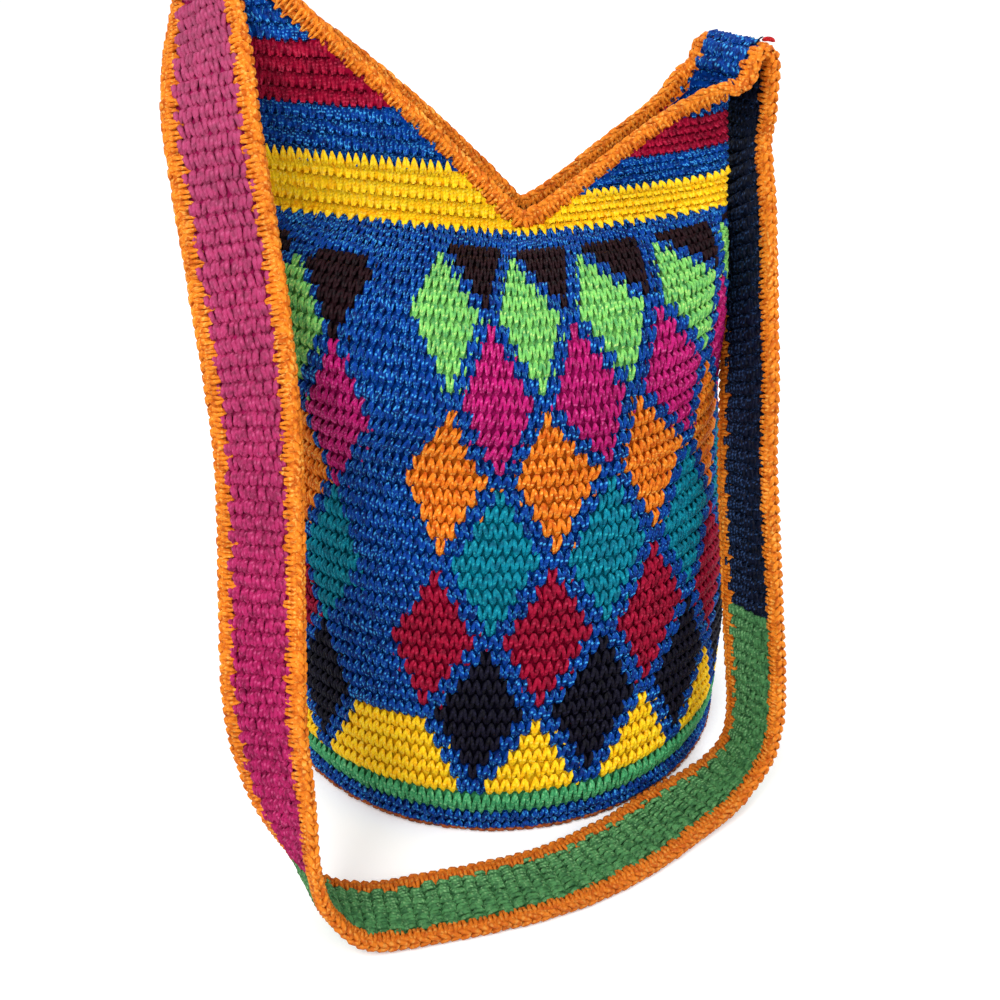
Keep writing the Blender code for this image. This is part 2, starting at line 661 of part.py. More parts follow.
def edging_stations(front):
    """Middle of one edging and the way out from the fabric's face, all round its loop."""
    sign = 1 if front else -1
    offset = STRAP_WIDTH / 2 - EDGING_WIDTH / 2
    frames = edging_frames()
    band = []
    for index, (middle, along, across, normal) in enumerate(frames):
        seam = 3 * CLEARANCE if index in (0, len(frames) - 1) else 0
        band.append((middle + across * sign * (offset + seam), normal * sign))
    dip_y = -MOUTH_SET_FORWARD - sign * (MOUTH_HALF_DEPTH - FABRIC / 2)
    dip_height = MOUTH_HEIGHT + EDGING_WIDTH / 2 + 3 * CLEARANCE
    dip = (Vector((MOUTH_DIP_X, dip_y, dip_height)), Vector((0, -sign, 0)))
    return [dip] + rim_path(Ear(1), front) + band + rim_path(Ear(-1), front)[::-1]


def build_edging(front, parts):
    """One braided edging: a closed loop round the mouth and along one edge of the strap."""
    stations = edging_stations(front)
    points = [place for place, way in stations]
    builder = bmesh.new()
    loops = []
    for index, (place, way) in enumerate(stations):
        along = (points[(index + 1) % len(points)] - points[index - 1]).normalized()
        way = (way - along * way.dot(along)).normalized()
        side = along.cross(way)
        loops.append([place + way * EDGING_THICKNESS / 2 * math.sin(a) + side * EDGING_WIDTH / 2 * math.cos(a)
                      for a in (math.tau * corner / EDGING_SIDES for corner in range(EDGING_SIDES))])
    sweep(builder, loops, True)
    return add_object("edging_front" if front else "edging_back", builder, ["orange"], parts)


def build_yarn_end(parts):
    """The short loose end of yarn that lies over the front edging at the right peak."""
    tip, outward, forward = Ear(1).tip()
    up = Vector((0, 0, 1))
    hub = tip + forward * (STRAP_WIDTH - EDGING_WIDTH) / 2 + (outward + up) * STRAP_FOLD_RADIUS
    reach = STRAP_FOLD_RADIUS + EDGING_THICKNESS / 2 + YARN_END_DIAMETER / 2 + CLEARANCE / 2
    loops = []
    for share in (0, 0.15, 0.5, 0.85, 1):
        turn = YARN_END_LEAN + YARN_END_LENGTH / reach * (share - 0.5)
        away = outward * math.sin(turn) + up * math.cos(turn)
        radius = YARN_END_DIAMETER / 2 * (1 if 0 < share < 1 else 0.5)
        loops.append([hub + away * reach + (away * math.cos(a) + forward * math.sin(a)) * radius
                      for a in (math.tau * corner / 6 for corner in range(6))])
    builder = bmesh.new()
    sweep(builder, loops, False)
    return add_object("yarn_end", builder, ["red"], parts)


def clear_scene():
    """Remove whatever the scene holds."""
    for thing in list(bpy.data.objects):
        bpy.data.objects.remove(thing, do_unlink=True)


def main():
    """Model the purse."""
    clear_scene()
    parts = bpy.data.collections.new("crochet purse")
    bpy.context.scene.collection.children.link(parts)
    build_bag(parts)
    build_strap(parts)
    build_edging(True, parts)
    build_edging(False, parts)
    build_yarn_end(parts)


main()
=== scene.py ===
"""Looks of the crochet purse: every worked stitch, the braided edging, the yarns and a plain studio.

Metres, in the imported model's own frame: +Z up, the bag's front towards -Y.
"""

import logging
import math
from dataclasses import dataclass, field
from enum import Enum
from functools import cache

import bpy
import numpy as np
from mathutils import Matrix, Vector


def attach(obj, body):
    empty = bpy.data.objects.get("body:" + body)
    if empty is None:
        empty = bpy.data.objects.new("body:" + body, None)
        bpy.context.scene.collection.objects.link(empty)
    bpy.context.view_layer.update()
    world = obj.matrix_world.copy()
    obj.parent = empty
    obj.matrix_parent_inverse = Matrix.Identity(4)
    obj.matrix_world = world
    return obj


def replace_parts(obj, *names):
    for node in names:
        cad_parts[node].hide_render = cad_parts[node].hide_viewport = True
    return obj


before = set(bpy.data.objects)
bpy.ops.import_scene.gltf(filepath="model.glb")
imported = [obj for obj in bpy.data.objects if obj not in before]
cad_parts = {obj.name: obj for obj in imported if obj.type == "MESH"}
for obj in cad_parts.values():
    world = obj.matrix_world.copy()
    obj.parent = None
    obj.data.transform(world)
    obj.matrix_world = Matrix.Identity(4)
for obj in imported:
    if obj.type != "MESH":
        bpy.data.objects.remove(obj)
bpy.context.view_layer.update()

MM = 0.001
log = logging.getLogger("crochet purse")

Socket = bpy.types.NodeSocket
Inputs = dict[str | int, Socket | float | tuple[float, ...]]
Tone = tuple[float, float, float]


@dataclass(frozen=True)
class Fade:
    """A tone that a yarn shifts to between two heights in metres, and the most of it that is mixed in."""

    tone: Tone
    start: float
    end: float
    amount: float


@dataclass(frozen=True)
class YarnFinish:
    """How one yarn looks: three tones given as screen colours from 0 to 255, and its surface. The third tone
    is partly the lighter ply of the marled yarn and partly a painted glint that stands in for the shine along
    the legs.
    """

    deep: Tone
    body: Tone
    # Third tone: partly the marled yarn's lighter ply, partly a painted glint along the legs.
    fleck: Tone
    fleck_share: float = 0.3
    roughness: float = 0.55
    rough_spread: float = 0.12
    gloss: float = 0.12
    fade: Fade | None = None

    @staticmethod
    def linear(tone: Tone) -> tuple[float, float, float, float]:
        """Turn a screen colour into the linear one that a shader takes."""
        parts = [c / 255 for c in tone]
        return (*(c / 12.92 if c <= 0.04045 else ((c + 0.055) / 1.055) ** 2.4 for c in parts), 1.0)


class Yarn(Enum):
    """Yarns that the purse is worked in, each with its finish; the third tone of each is its marl fleck mixed
    with a painted glint.
    """

    BLUE = YarnFinish((0, 30, 96), (0, 62, 152), (74, 184, 250), 0.75)
    YELLOW = YarnFinish((250, 188, 8), (255, 214, 26), (255, 240, 112), 0.40)
    BLACK = YarnFinish((5, 4, 13), (14, 12, 30), (46, 44, 72), 0.35)
    CRIMSON = YarnFinish((112, 0, 32), (158, 6, 48), (210, 60, 92), 0.45)
    TEAL = YarnFinish((0, 92, 116), (0, 130, 154), (48, 196, 208), 0.50)
    ORANGE = YarnFinish((206, 90, 14), (242, 134, 30), (255, 214, 106), 0.55)
    MAGENTA = YarnFinish((138, 6, 76), (188, 22, 112), (240, 108, 174), 0.50)
    LIME = YarnFinish((84, 162, 92), (130, 208, 104), (222, 250, 142), 0.60)
    BROWN = YarnFinish((14, 5, 9), (34, 12, 18), (66, 34, 40), 0.35)
    GREEN = YarnFinish((44, 128, 80), (76, 170, 110), (156, 226, 162), 0.55)
    RUST = YarnFinish((110, 48, 20), (164, 82, 36), (210, 132, 72), 0.30)
    NAVY = YarnFinish((4, 8, 22), (10, 19, 42), (58, 90, 142), 0.65)
    RED = YarnFinish((150, 0, 8), (206, 16, 24), (240, 76, 70), 0.30)
    LEAF = YarnFinish((48, 96, 56), (76, 134, 80), (150, 204, 140), 0.50)
    # Plum turns lighter and greyer from 0.10 m up to 0.30 m, and the braid darker and browner below 0.05 m.
    PLUM = YarnFinish((132, 16, 66), (178, 32, 96), (222, 98, 148), 0.45,
                      fade=Fade((172, 92, 122), 0.10, 0.30, 0.50))
    BRAID = YarnFinish((196, 92, 16), (238, 136, 34), (255, 200, 96), 0.50,
                       fade=Fade((170, 78, 22), 0.05, 0.0, 0.50))

    @property
    def label(self) -> str:
        """The yarn's name as it stands in the names of pieces."""
        return self.name.lower()


YARNS = list(Yarn)


def smooth(value: float, low: float, high: float) -> float:
    """Ease from 0 at low to 1 at high."""
    share = min(max((value - low) / (high - low), 0.0), 1.0)
    return share * share * (3 - 2 * share)


def spline(points: list[Vector], share: float) -> Vector:
    """Point at a share, from 0 to 1, of a Catmull-Rom curve with equal steps between its points."""
    place = min(max(share, 0.0), 1.0) * (len(points) - 1)
    first = min(int(place), len(points) - 2)
    t = place - first
    p1, p2 = points[first], points[first + 1]
    p0 = points[first - 1] if first > 0 else p1 * 2 - p2
    p3 = points[first + 2] if first + 2 < len(points) else p2 * 2 - p1
    return 0.5 * (2 * p1 + (p2 - p0) * t + (2 * p0 - 5 * p1 + 4 * p2 - p3) * t * t
                  + (3 * p1 - p0 - 3 * p2 + p3) * t ** 3)


def run_of(points: np.ndarray) -> np.ndarray:
    """Distance along a polyline at each of its corners."""
    return np.concatenate(([0.0], np.cumsum(np.linalg.norm(np.diff(points, axis=0), axis=1))))


def along(table: np.ndarray, run: np.ndarray, where: np.ndarray) -> np.ndarray:
    """Rows of a table at distances along the run that its own rows are spread over."""
    return np.stack([np.interp(where, run, column) for column in table.T], axis=1)


def evenly(points: np.ndarray, places: np.ndarray) -> np.ndarray:
    """Points at shares of the length of a polyline, from 0 to 1."""
    run = run_of(points)
    return along(points, run, places * run[-1])


def unit(vectors: np.ndarray) -> np.ndarray:
    """Vectors scaled to a length of one."""
    return vectors / np.maximum(np.linalg.norm(vectors, axis=-1, keepdims=True), 1e-12)


def square_to(vectors: np.ndarray, ways: np.ndarray) -> np.ndarray:
    """Unit vectors turned square to unit ways."""
    return unit(vectors - ways * (vectors * ways).sum(axis=1)[:, None])


@dataclass
class BagShape:
    """The full bag's surface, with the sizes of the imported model."""

    base_radius: float = 90 * MM
    belly_half_width: float = 93 * MM
    belly_half_depth: float = 86 * MM
    belly_height: float = 62 * MM
    shoulder_half_width: float = 84 * MM
    shoulder_half_depth: float = 76 * MM
    shoulder_height: float = 170 * MM
    mouth_height: float = 214 * MM
    mouth_half_width: float = 83 * MM
    mouth_half_depth: float = 11 * MM
    mouth_forward: float = 13 * MM
    mouth_dip_x: float = 12 * MM
    dip_round: float = 0.15
    squareness: float = 0.6
    right_lift: float = 6 * MM
    left_lift: float = 11 * MM
    belly_swell: float = 2 * MM
    foot_in: float = 0.9 * MM
    foot_height: float = 0.6 * MM
    courses: int = 41
    low_courses: tuple[float, float] = (0.6, 1.5)
    steps: int = 180

    def profile(self) -> np.ndarray:
        """Half depth and height of the wall, one row a ring from the base edge to the mouth."""
        base, belly, shoulder = self.base_radius, self.belly_half_depth, self.shoulder_half_depth
        low, high, top = self.belly_height, self.shoulder_height, self.mouth_height
        swell, mouth = self.belly_swell, self.mouth_half_depth
        outline = [
            (base - self.foot_in, self.foot_height), (base + 0.35 * (belly - base) + swell, 0.26 * low),
            (belly + swell, 0.6 * low), (belly, low),
            (0.6 * belly + 0.4 * shoulder, 0.6 * low + 0.4 * high),
            (0.1 * belly + 0.9 * shoulder, 0.3 * low + 0.7 * high), (shoulder, high),
            (0.72 * shoulder + 0.28 * mouth, 0.40 * high + 0.60 * top),
            (0.38 * shoulder + 0.62 * mouth, 0.13 * high + 0.87 * top), (mouth, top),
        ]
        points = [Vector((depth, 0, height)) for depth, height in outline]
        count = 40 * (len(points) - 1)
        fine = np.array([spline(points, step / count) for step in range(count + 1)])
        places = np.arange(self.courses + 1.0)
        places[1:3] = self.low_courses
        return evenly(fine, places / self.courses)

    def half_width(self, height: float) -> float:
        """Half width of the bag at a height."""
        low = self.base_radius + (self.belly_half_width - self.base_radius) * smooth(
            height, -0.3 * self.belly_height, self.belly_height)
        middle = low + (self.shoulder_half_width - self.belly_half_width) * smooth(
            height, self.belly_height, self.shoulder_height)
        return middle + (self.mouth_half_width - self.shoulder_half_width) * smooth(
            height, self.shoulder_height, self.mouth_height)

    @staticmethod
    def section(side: int, angle: np.ndarray, centre: np.ndarray, reach: float, half_depth: float,
                turn: float, lift: float, squareness: float) -> np.ndarray:
        """Points on one half section, from angle -90 at its back end to 90 at its front end.

        Args:
            side: 1 for the right half, -1 for the left.
            angle: angles in radians.
            centre: middle of the section.
            reach: distance from the middle to the side.
            half_depth: half of the front to back size.
            turn: turn of the section about the vertical.
            lift: rise of the side over the ends.
            squareness: how much fuller than an ellipse the section is.

        Returns:
            One point an angle.
        """
        power = 2 / (2 + squareness)
        cosine = np.abs(np.cos(angle)) ** power
        out = side * reach * cosine
        forth = -half_depth * np.copysign(np.abs(np.sin(angle)) ** power, angle)
        x = out * math.cos(turn) - forth * math.sin(turn)
        y = out * math.sin(turn) + forth * math.cos(turn)
        return centre + np.stack([x, y, lift * cosine], axis=-1)

    def ring(self, half_depth: float, height: float) -> np.ndarray:
        """Closed course of the wall at a height, from its front centre round to the right."""
        rising = smooth(height, 0.6 * self.shoulder_height, self.mouth_height)
        closing = smooth(height, 0.8 * self.shoulder_height, self.mouth_height)
        centre = np.array([self.mouth_dip_x * rising, -self.mouth_forward * closing, height])
        angles = math.pi / 2 - math.pi * np.arange(self.steps + 1) / self.steps
        halves = []
        for side, lift in ((1, self.right_lift), (-1, self.left_lift)):
            own = angles if side > 0 else -angles
            halves.append(self.section(side, own, centre, self.half_width(height) - side * centre[0],
                                       half_depth, 0.0, lift * closing, self.squareness * closing))
        points = np.concatenate([halves[0], halves[1][1:]])
        front = len(points) - 1
        while front > self.steps and points[front][0] > 0:
            front -= 1
        return np.concatenate([points[front:-1], points[:front + 1]])


@dataclass
class EarShape:
    """One of the two ears: half a section that narrows to the strap's end as it rises."""

    bag: BagShape
    side: int
    rise: float
    turn: float
    tip_forward: float
    sweep: float
    lift: float
    tip_x: float = 83 * MM
    tip_half: float = 9.6 * MM
    tip_fold: float = 1 * MM
    flat_reach: tuple[float, float] = (2 * MM, 12 * MM)
    twist_power: int = 4
    courses: int = 12
    fabric: float = 4 * MM

    def points(self, share: float, angles: np.ndarray, inset: float = 0.0) -> np.ndarray:
        """Points at a share of the ear's height, from back rim to front rim, at a depth under the face."""
        bag, side = self.bag, self.side
        soft = bag.dip_round
        grown = math.sqrt((share + soft) ** 2 - soft ** 2) / math.sqrt((1 + soft) ** 2 - soft ** 2)
        spread = grown ** self.sweep
        centre = np.array([bag.mouth_dip_x + (side * self.tip_x - bag.mouth_dip_x) * spread,
                           -bag.mouth_forward + (bag.mouth_forward - self.tip_forward) * share,
                           bag.mouth_height + self.rise * share])
        reach = (bag.mouth_half_width - side * bag.mouth_dip_x) * (1 - spread) + self.tip_fold
        half_depth = bag.mouth_half_depth + (self.tip_half - bag.mouth_half_depth) * smooth(share, 0.3, 1)
        folded = smooth(reach, *self.flat_reach)
        turn = self.turn * share ** self.twist_power
        place = bag.section(side, angles, centre, reach - inset, half_depth - inset * folded, turn,
                            self.lift * (1 - share), bag.squareness)
        flat = inset * (1 - folded) * (1 - np.abs(np.cos(angles)) ** (2 / (2 + bag.squareness)))
        return place - flat[:, None] * side * np.array([math.cos(turn), math.sin(turn), 0.0])

    def course(self, share: float, inset: float = 0.0) -> np.ndarray:
        """Fine polyline of one course, from back rim to front rim."""
        return self.points(share, np.linspace(-math.pi / 2, math.pi / 2, 121), inset)

    def tip(self) -> tuple[Vector, Vector, Vector]:
        """Middle of the top edge, the way its strap leaves outwards, and the way to its front rim."""
        forward = Vector((math.sin(self.turn), -math.cos(self.turn), 0))
        outward = Vector((math.cos(self.turn), math.sin(self.turn), 0)) * self.side
        return Vector(self.points(1, np.array([0.0]), self.fabric / 2)[0]), outward, forward


@dataclass
class Patch:
    """Places of many stitches: middle, step to the next stitch, step to the next course, way out."""

    middle: np.ndarray
    across: np.ndarray
    up: np.ndarray
    out: np.ndarray

    def pick(self, chosen: np.ndarray) -> "Patch":
        """The stitches that a mask chooses."""
        return Patch(self.middle[chosen], self.across[chosen], self.up[chosen], self.out[chosen])


@dataclass(frozen=True)
class LegForm:
    """One leg of a stitch: points as stitch widths across, course heights up and millimetres out."""

    across: tuple[float, ...]
    up: tuple[float, ...]
    out: tuple[float, ...]
    radius: tuple[float, ...]


V_LEG = LegForm((0.06, 0.15, 0.36, 0.47), (-0.60, -0.24, 0.26, 0.46),
                (-0.5, 0.75, 1.20, 0.20), (0.46, 0.88, 0.90, 0.56))
RIDGE_LEG = LegForm((0.08, 0.18, 0.34, 0.46), (-0.58, -0.24, 0.26, 0.50),
                    (-0.6, 0.90, 0.95, -0.3), (0.60, 1.02, 1.02, 0.66))
LUMP = LegForm((0.10, 0.20, 0.30, 0.34), (-0.54, -0.22, 0.24, 0.52),
               (-0.7, 0.75, 0.90, -0.6), (0.60, 1.00, 1.04, 0.66))
BAR = LegForm((-0.60, -0.22, 0.22, 0.60), (-0.42, -0.36, -0.36, -0.42),
              (0.3, 1.3, 1.3, 0.3), (0.6, 0.85, 0.85, 0.6))
SPIKE = LegForm((0.30, 0.20, 0.10, 0.02), (-0.85, -0.50, -0.12, 0.22),
                (-0.2, 0.55, 0.65, 0.3), (0.7, 1.0, 0.8, 0.25))
SPECK = LegForm((0.02, 0.06, 0.14), (-0.60, -0.34, -0.06), (-0.2, 1.0, 0.9), (0.30, 0.62, 0.34))


def seat(name: str, mesh: bpy.types.Mesh) -> bpy.types.Object:
    """Make one piece from its mesh, let it ride on the purse's body and report it."""
    piece = bpy.data.objects.new(name, mesh)
    bpy.context.scene.collection.objects.link(piece)
    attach(piece, "root")
    log.info("%s: %d faces", name, len(mesh.polygons))
    return piece


@dataclass
class YarnTubes:
    """Collects lengths of yarn and turns them into one mesh, with a map of turns round and plies along."""

    name: str
    yarn: Yarn
    sides: int = 5
    ply_length: float = 3 * MM
    ply_shift: float = 0.37
    usual_width: float = 3.3 * MM
    squeezes: tuple[float, float] = (0.6, 1.1)
    swell_spread: float = 0.07
    out_spread: float = 0.12 * MM
    up_share: float = 0.6
    corners: list[np.ndarray] = field(default_factory=list)
    quads: list[np.ndarray] = field(default_factory=list)
    turns: list[np.ndarray] = field(default_factory=list)
    count: int = 0

    def add(self, centres: np.ndarray, outs: np.ndarray, radii: np.ndarray) -> None:
        """Add tubes of equal numbers of points.

        Args:
            centres: points of each tube, as tubes by points by 3.
            outs: way out of the fabric for each tube, as tubes by 3.
            radii: radius at each point, as tubes by points.
        """
        tubes, points = centres.shape[:2]
        if not tubes:
            return
        ahead = unit(np.gradient(centres, axis=1))
        side = unit(np.cross(ahead, outs[:, None, :]))
        lift = np.cross(side, ahead)
        angle = 2 * math.pi * np.arange(self.sides) / self.sides
        rim = side[:, :, None] * np.cos(angle)[:, None] + lift[:, :, None] * np.sin(angle)[:, None]
        corners = centres[:, :, None] + rim * radii[:, :, None, None]
        self.corners.append(corners.reshape(-1, 3))
        index = np.arange(tubes * points * self.sides).reshape(tubes, points, self.sides) + self.count
        after = np.roll(index, -1, axis=2)
        quads = np.stack([index[:, :-1], after[:, :-1], after[:, 1:], index[:, 1:]], axis=-1)
        self.quads.append(quads.reshape(-1, 4))
        lengths = np.cumsum(np.linalg.norm(np.diff(centres, axis=1), axis=2), axis=1)
        run = np.concatenate([np.zeros((tubes, 1)), lengths], axis=1)
        run = run / self.ply_length + np.arange(tubes)[:, None] * self.ply_shift
        low = np.arange(self.sides) / self.sides
        u = np.stack([low, low + 1 / self.sides, low + 1 / self.sides, low], axis=-1)
        u = np.broadcast_to(u, (tubes, points - 1, self.sides, 4))
        v = np.stack([run[:, :-1], run[:, :-1], run[:, 1:], run[:, 1:]], axis=-1)[:, :, None]
        v = np.broadcast_to(v, u.shape)
        self.turns.append(np.stack([u, v], axis=-1).reshape(-1, 2))
        self.count += tubes * points * self.sides

    def legs(self, patch: Patch, form: LegForm, mirror: int, slant: float, seed: int,
             jitter: float = 0.05) -> None:
        """Add one leg of every stitch in a patch.

        Args:
            patch: places of the stitches.
            form: the leg's own line.
            mirror: 1 for the right leg, -1 for the left.
            slant: lean of the stitch, in stitch widths a course.
            seed: start of the unevenness.
            jitter: unevenness by hand, in stitch widths.
        """
        rng = np.random.default_rng(seed)
        tubes = len(patch.middle)
        shift = rng.normal(0, jitter, (tubes, 2))
        swell = 1 + rng.normal(0, self.swell_spread, (tubes, 1))
        up = np.array(form.up)[None, :] + shift[:, 1:] * self.up_share
        across = mirror * np.array(form.across)[None, :] + slant * up + shift[:, :1]
        out = np.array(form.out)[None, :] * MM + rng.normal(0, self.out_spread, (tubes, 1))
        width = np.linalg.norm(patch.across, axis=1)[:, None]
        squeeze = np.clip(width / self.usual_width, *self.squeezes)
        centres = (patch.middle[:, None] + patch.across[:, None] * across[..., None]
                   + patch.up[:, None] * up[..., None] + patch.out[:, None] * out[..., None])
        self.add(centres, patch.out, np.array(form.radius)[None, :] * MM * swell * squeeze)

    def build(self, slot: str) -> bpy.types.Object:
        """Make the piece and dress it in its yarn."""
        corners, quads = np.concatenate(self.corners), np.concatenate(self.quads)
        mesh = bpy.data.meshes.new(self.name)
        mesh.vertices.add(len(corners))
        mesh.vertices.foreach_set("co", corners.astype(np.float32).ravel())
        mesh.loops.add(quads.size)
        mesh.loops.foreach_set("vertex_index", quads.astype(np.int32).ravel())
        mesh.polygons.add(len(quads))
        mesh.polygons.foreach_set("loop_start", np.arange(0, quads.size, 4, dtype=np.int32))
        mesh.polygons.foreach_set("use_smooth", np.ones(len(quads), dtype=bool))
        mesh.update(calc_edges=True)
        layer = mesh.uv_layers.new(name="ply")
        layer.data.foreach_set("uv", np.concatenate(self.turns).astype(np.float32).ravel())
        mesh.materials.append(Wardrobe.of(self.yarn))
        return seat(self.name, mesh)


class Wiring:
    """Adds shader nodes to a tree and fills or links their inputs in one call."""

    def __init__(self, tree: bpy.types.NodeTree) -> None:
        """Take the tree to work on."""
        self.tree = tree

    @classmethod
    def group(cls, name: str, takes: dict[str, str], gives: dict[str, str]) -> tuple:
        """Start a node group.

        Args:
            name: the group's name.
            takes: kind of each input, by its name.
            gives: kind of each output, by its name.

        Returns:
            The wiring of the group, its inputs as seen from inside, and its end node.
        """
        tree = bpy.data.node_groups.new(name, "ShaderNodeTree")
        for way, sockets in (("INPUT", takes), ("OUTPUT", gives)):
            for socket, kind in sockets.items():
                tree.interface.new_socket(socket, in_out=way, socket_type=f"NodeSocket{kind}")
        return cls(tree), tree.nodes.new("NodeGroupInput").outputs, tree.nodes.new("NodeGroupOutput")

    @classmethod
    def material(cls, name: str) -> tuple["Wiring", bpy.types.Material, bpy.types.Node]:
        """Start a material: its wiring, the material itself and its shader."""
        material = bpy.data.materials.new(name)
        material.use_nodes = True
        return cls(material.node_tree), material, material.node_tree.nodes["Principled BSDF"]

    @staticmethod
    def shown(sockets: bpy.types.bpy_prop_collection, name: str) -> Socket:
        """The socket in use under a name that a node may give to several."""
        return next(socket for socket in sockets if socket.enabled and socket.name == name)

    def feed(self, node: bpy.types.Node, inputs: Inputs) -> None:
        """Give inputs, by name or number, a constant value or the socket that feeds them."""
        for name, value in inputs.items():
            socket = node.inputs[name] if isinstance(name, int) else self.shown(node.inputs, name)
            if isinstance(value, Socket):
                self.tree.links.new(value, socket)
            else:
                socket.default_value = value

    def node(self, kind: str, inputs: Inputs) -> bpy.types.Node:
        """Add a node of a kind and feed it."""
        node = self.tree.nodes.new(f"ShaderNode{kind}")
        self.feed(node, inputs)
        return node

    def use(self, tree: bpy.types.NodeTree, inputs: Inputs) -> bpy.types.Node:
        """Add a node group and feed it."""
        node = self.node("Group", {})
        node.node_tree = tree
        self.feed(node, inputs)
        return node

    def place(self) -> Socket:
        """Place in the purse's own space."""
        return self.node("TexCoord", {}).outputs["Object"]

    def ply_map(self) -> Socket:
        """Place round and along the yarn."""
        node = self.node("UVMap", {})
        node.uv_map = "ply"
        return node.outputs["UV"]

    def noise(self, place: Socket, scale: float, detail: float = 2) -> Socket:
        """Soft noise over a place."""
        return self.node("TexNoise", {"Vector": place, "Scale": scale, "Detail": detail}).outputs["Fac"]

    def math(self, operation: str, *terms: Socket | float) -> Socket:
        """Result of one sum."""
        node = self.node("Math", {})
        node.operation = operation
        self.feed(node, dict(enumerate(terms)))
        return node.outputs["Value"]

    def mix(self, share: Socket, first: Socket, second: Socket | tuple) -> Socket:
        """Colour that lies a share of the way from the first to the second."""
        node = self.node("Mix", {})
        node.data_type = "RGBA"
        self.feed(node, {"Factor": share, "A": first, "B": second})
        return self.shown(node.outputs, "Result")

    def ranged(self, value: Socket, ends: tuple[float, float] = (0, 1),
               results: tuple[float, float] = (0, 1)) -> Socket:
        """Value carried from one range to another."""
        return self.node("MapRange", {"Value": value, "From Min": ends[0], "From Max": ends[1],
                                      "To Min": results[0], "To Max": results[1]}).outputs["Result"]


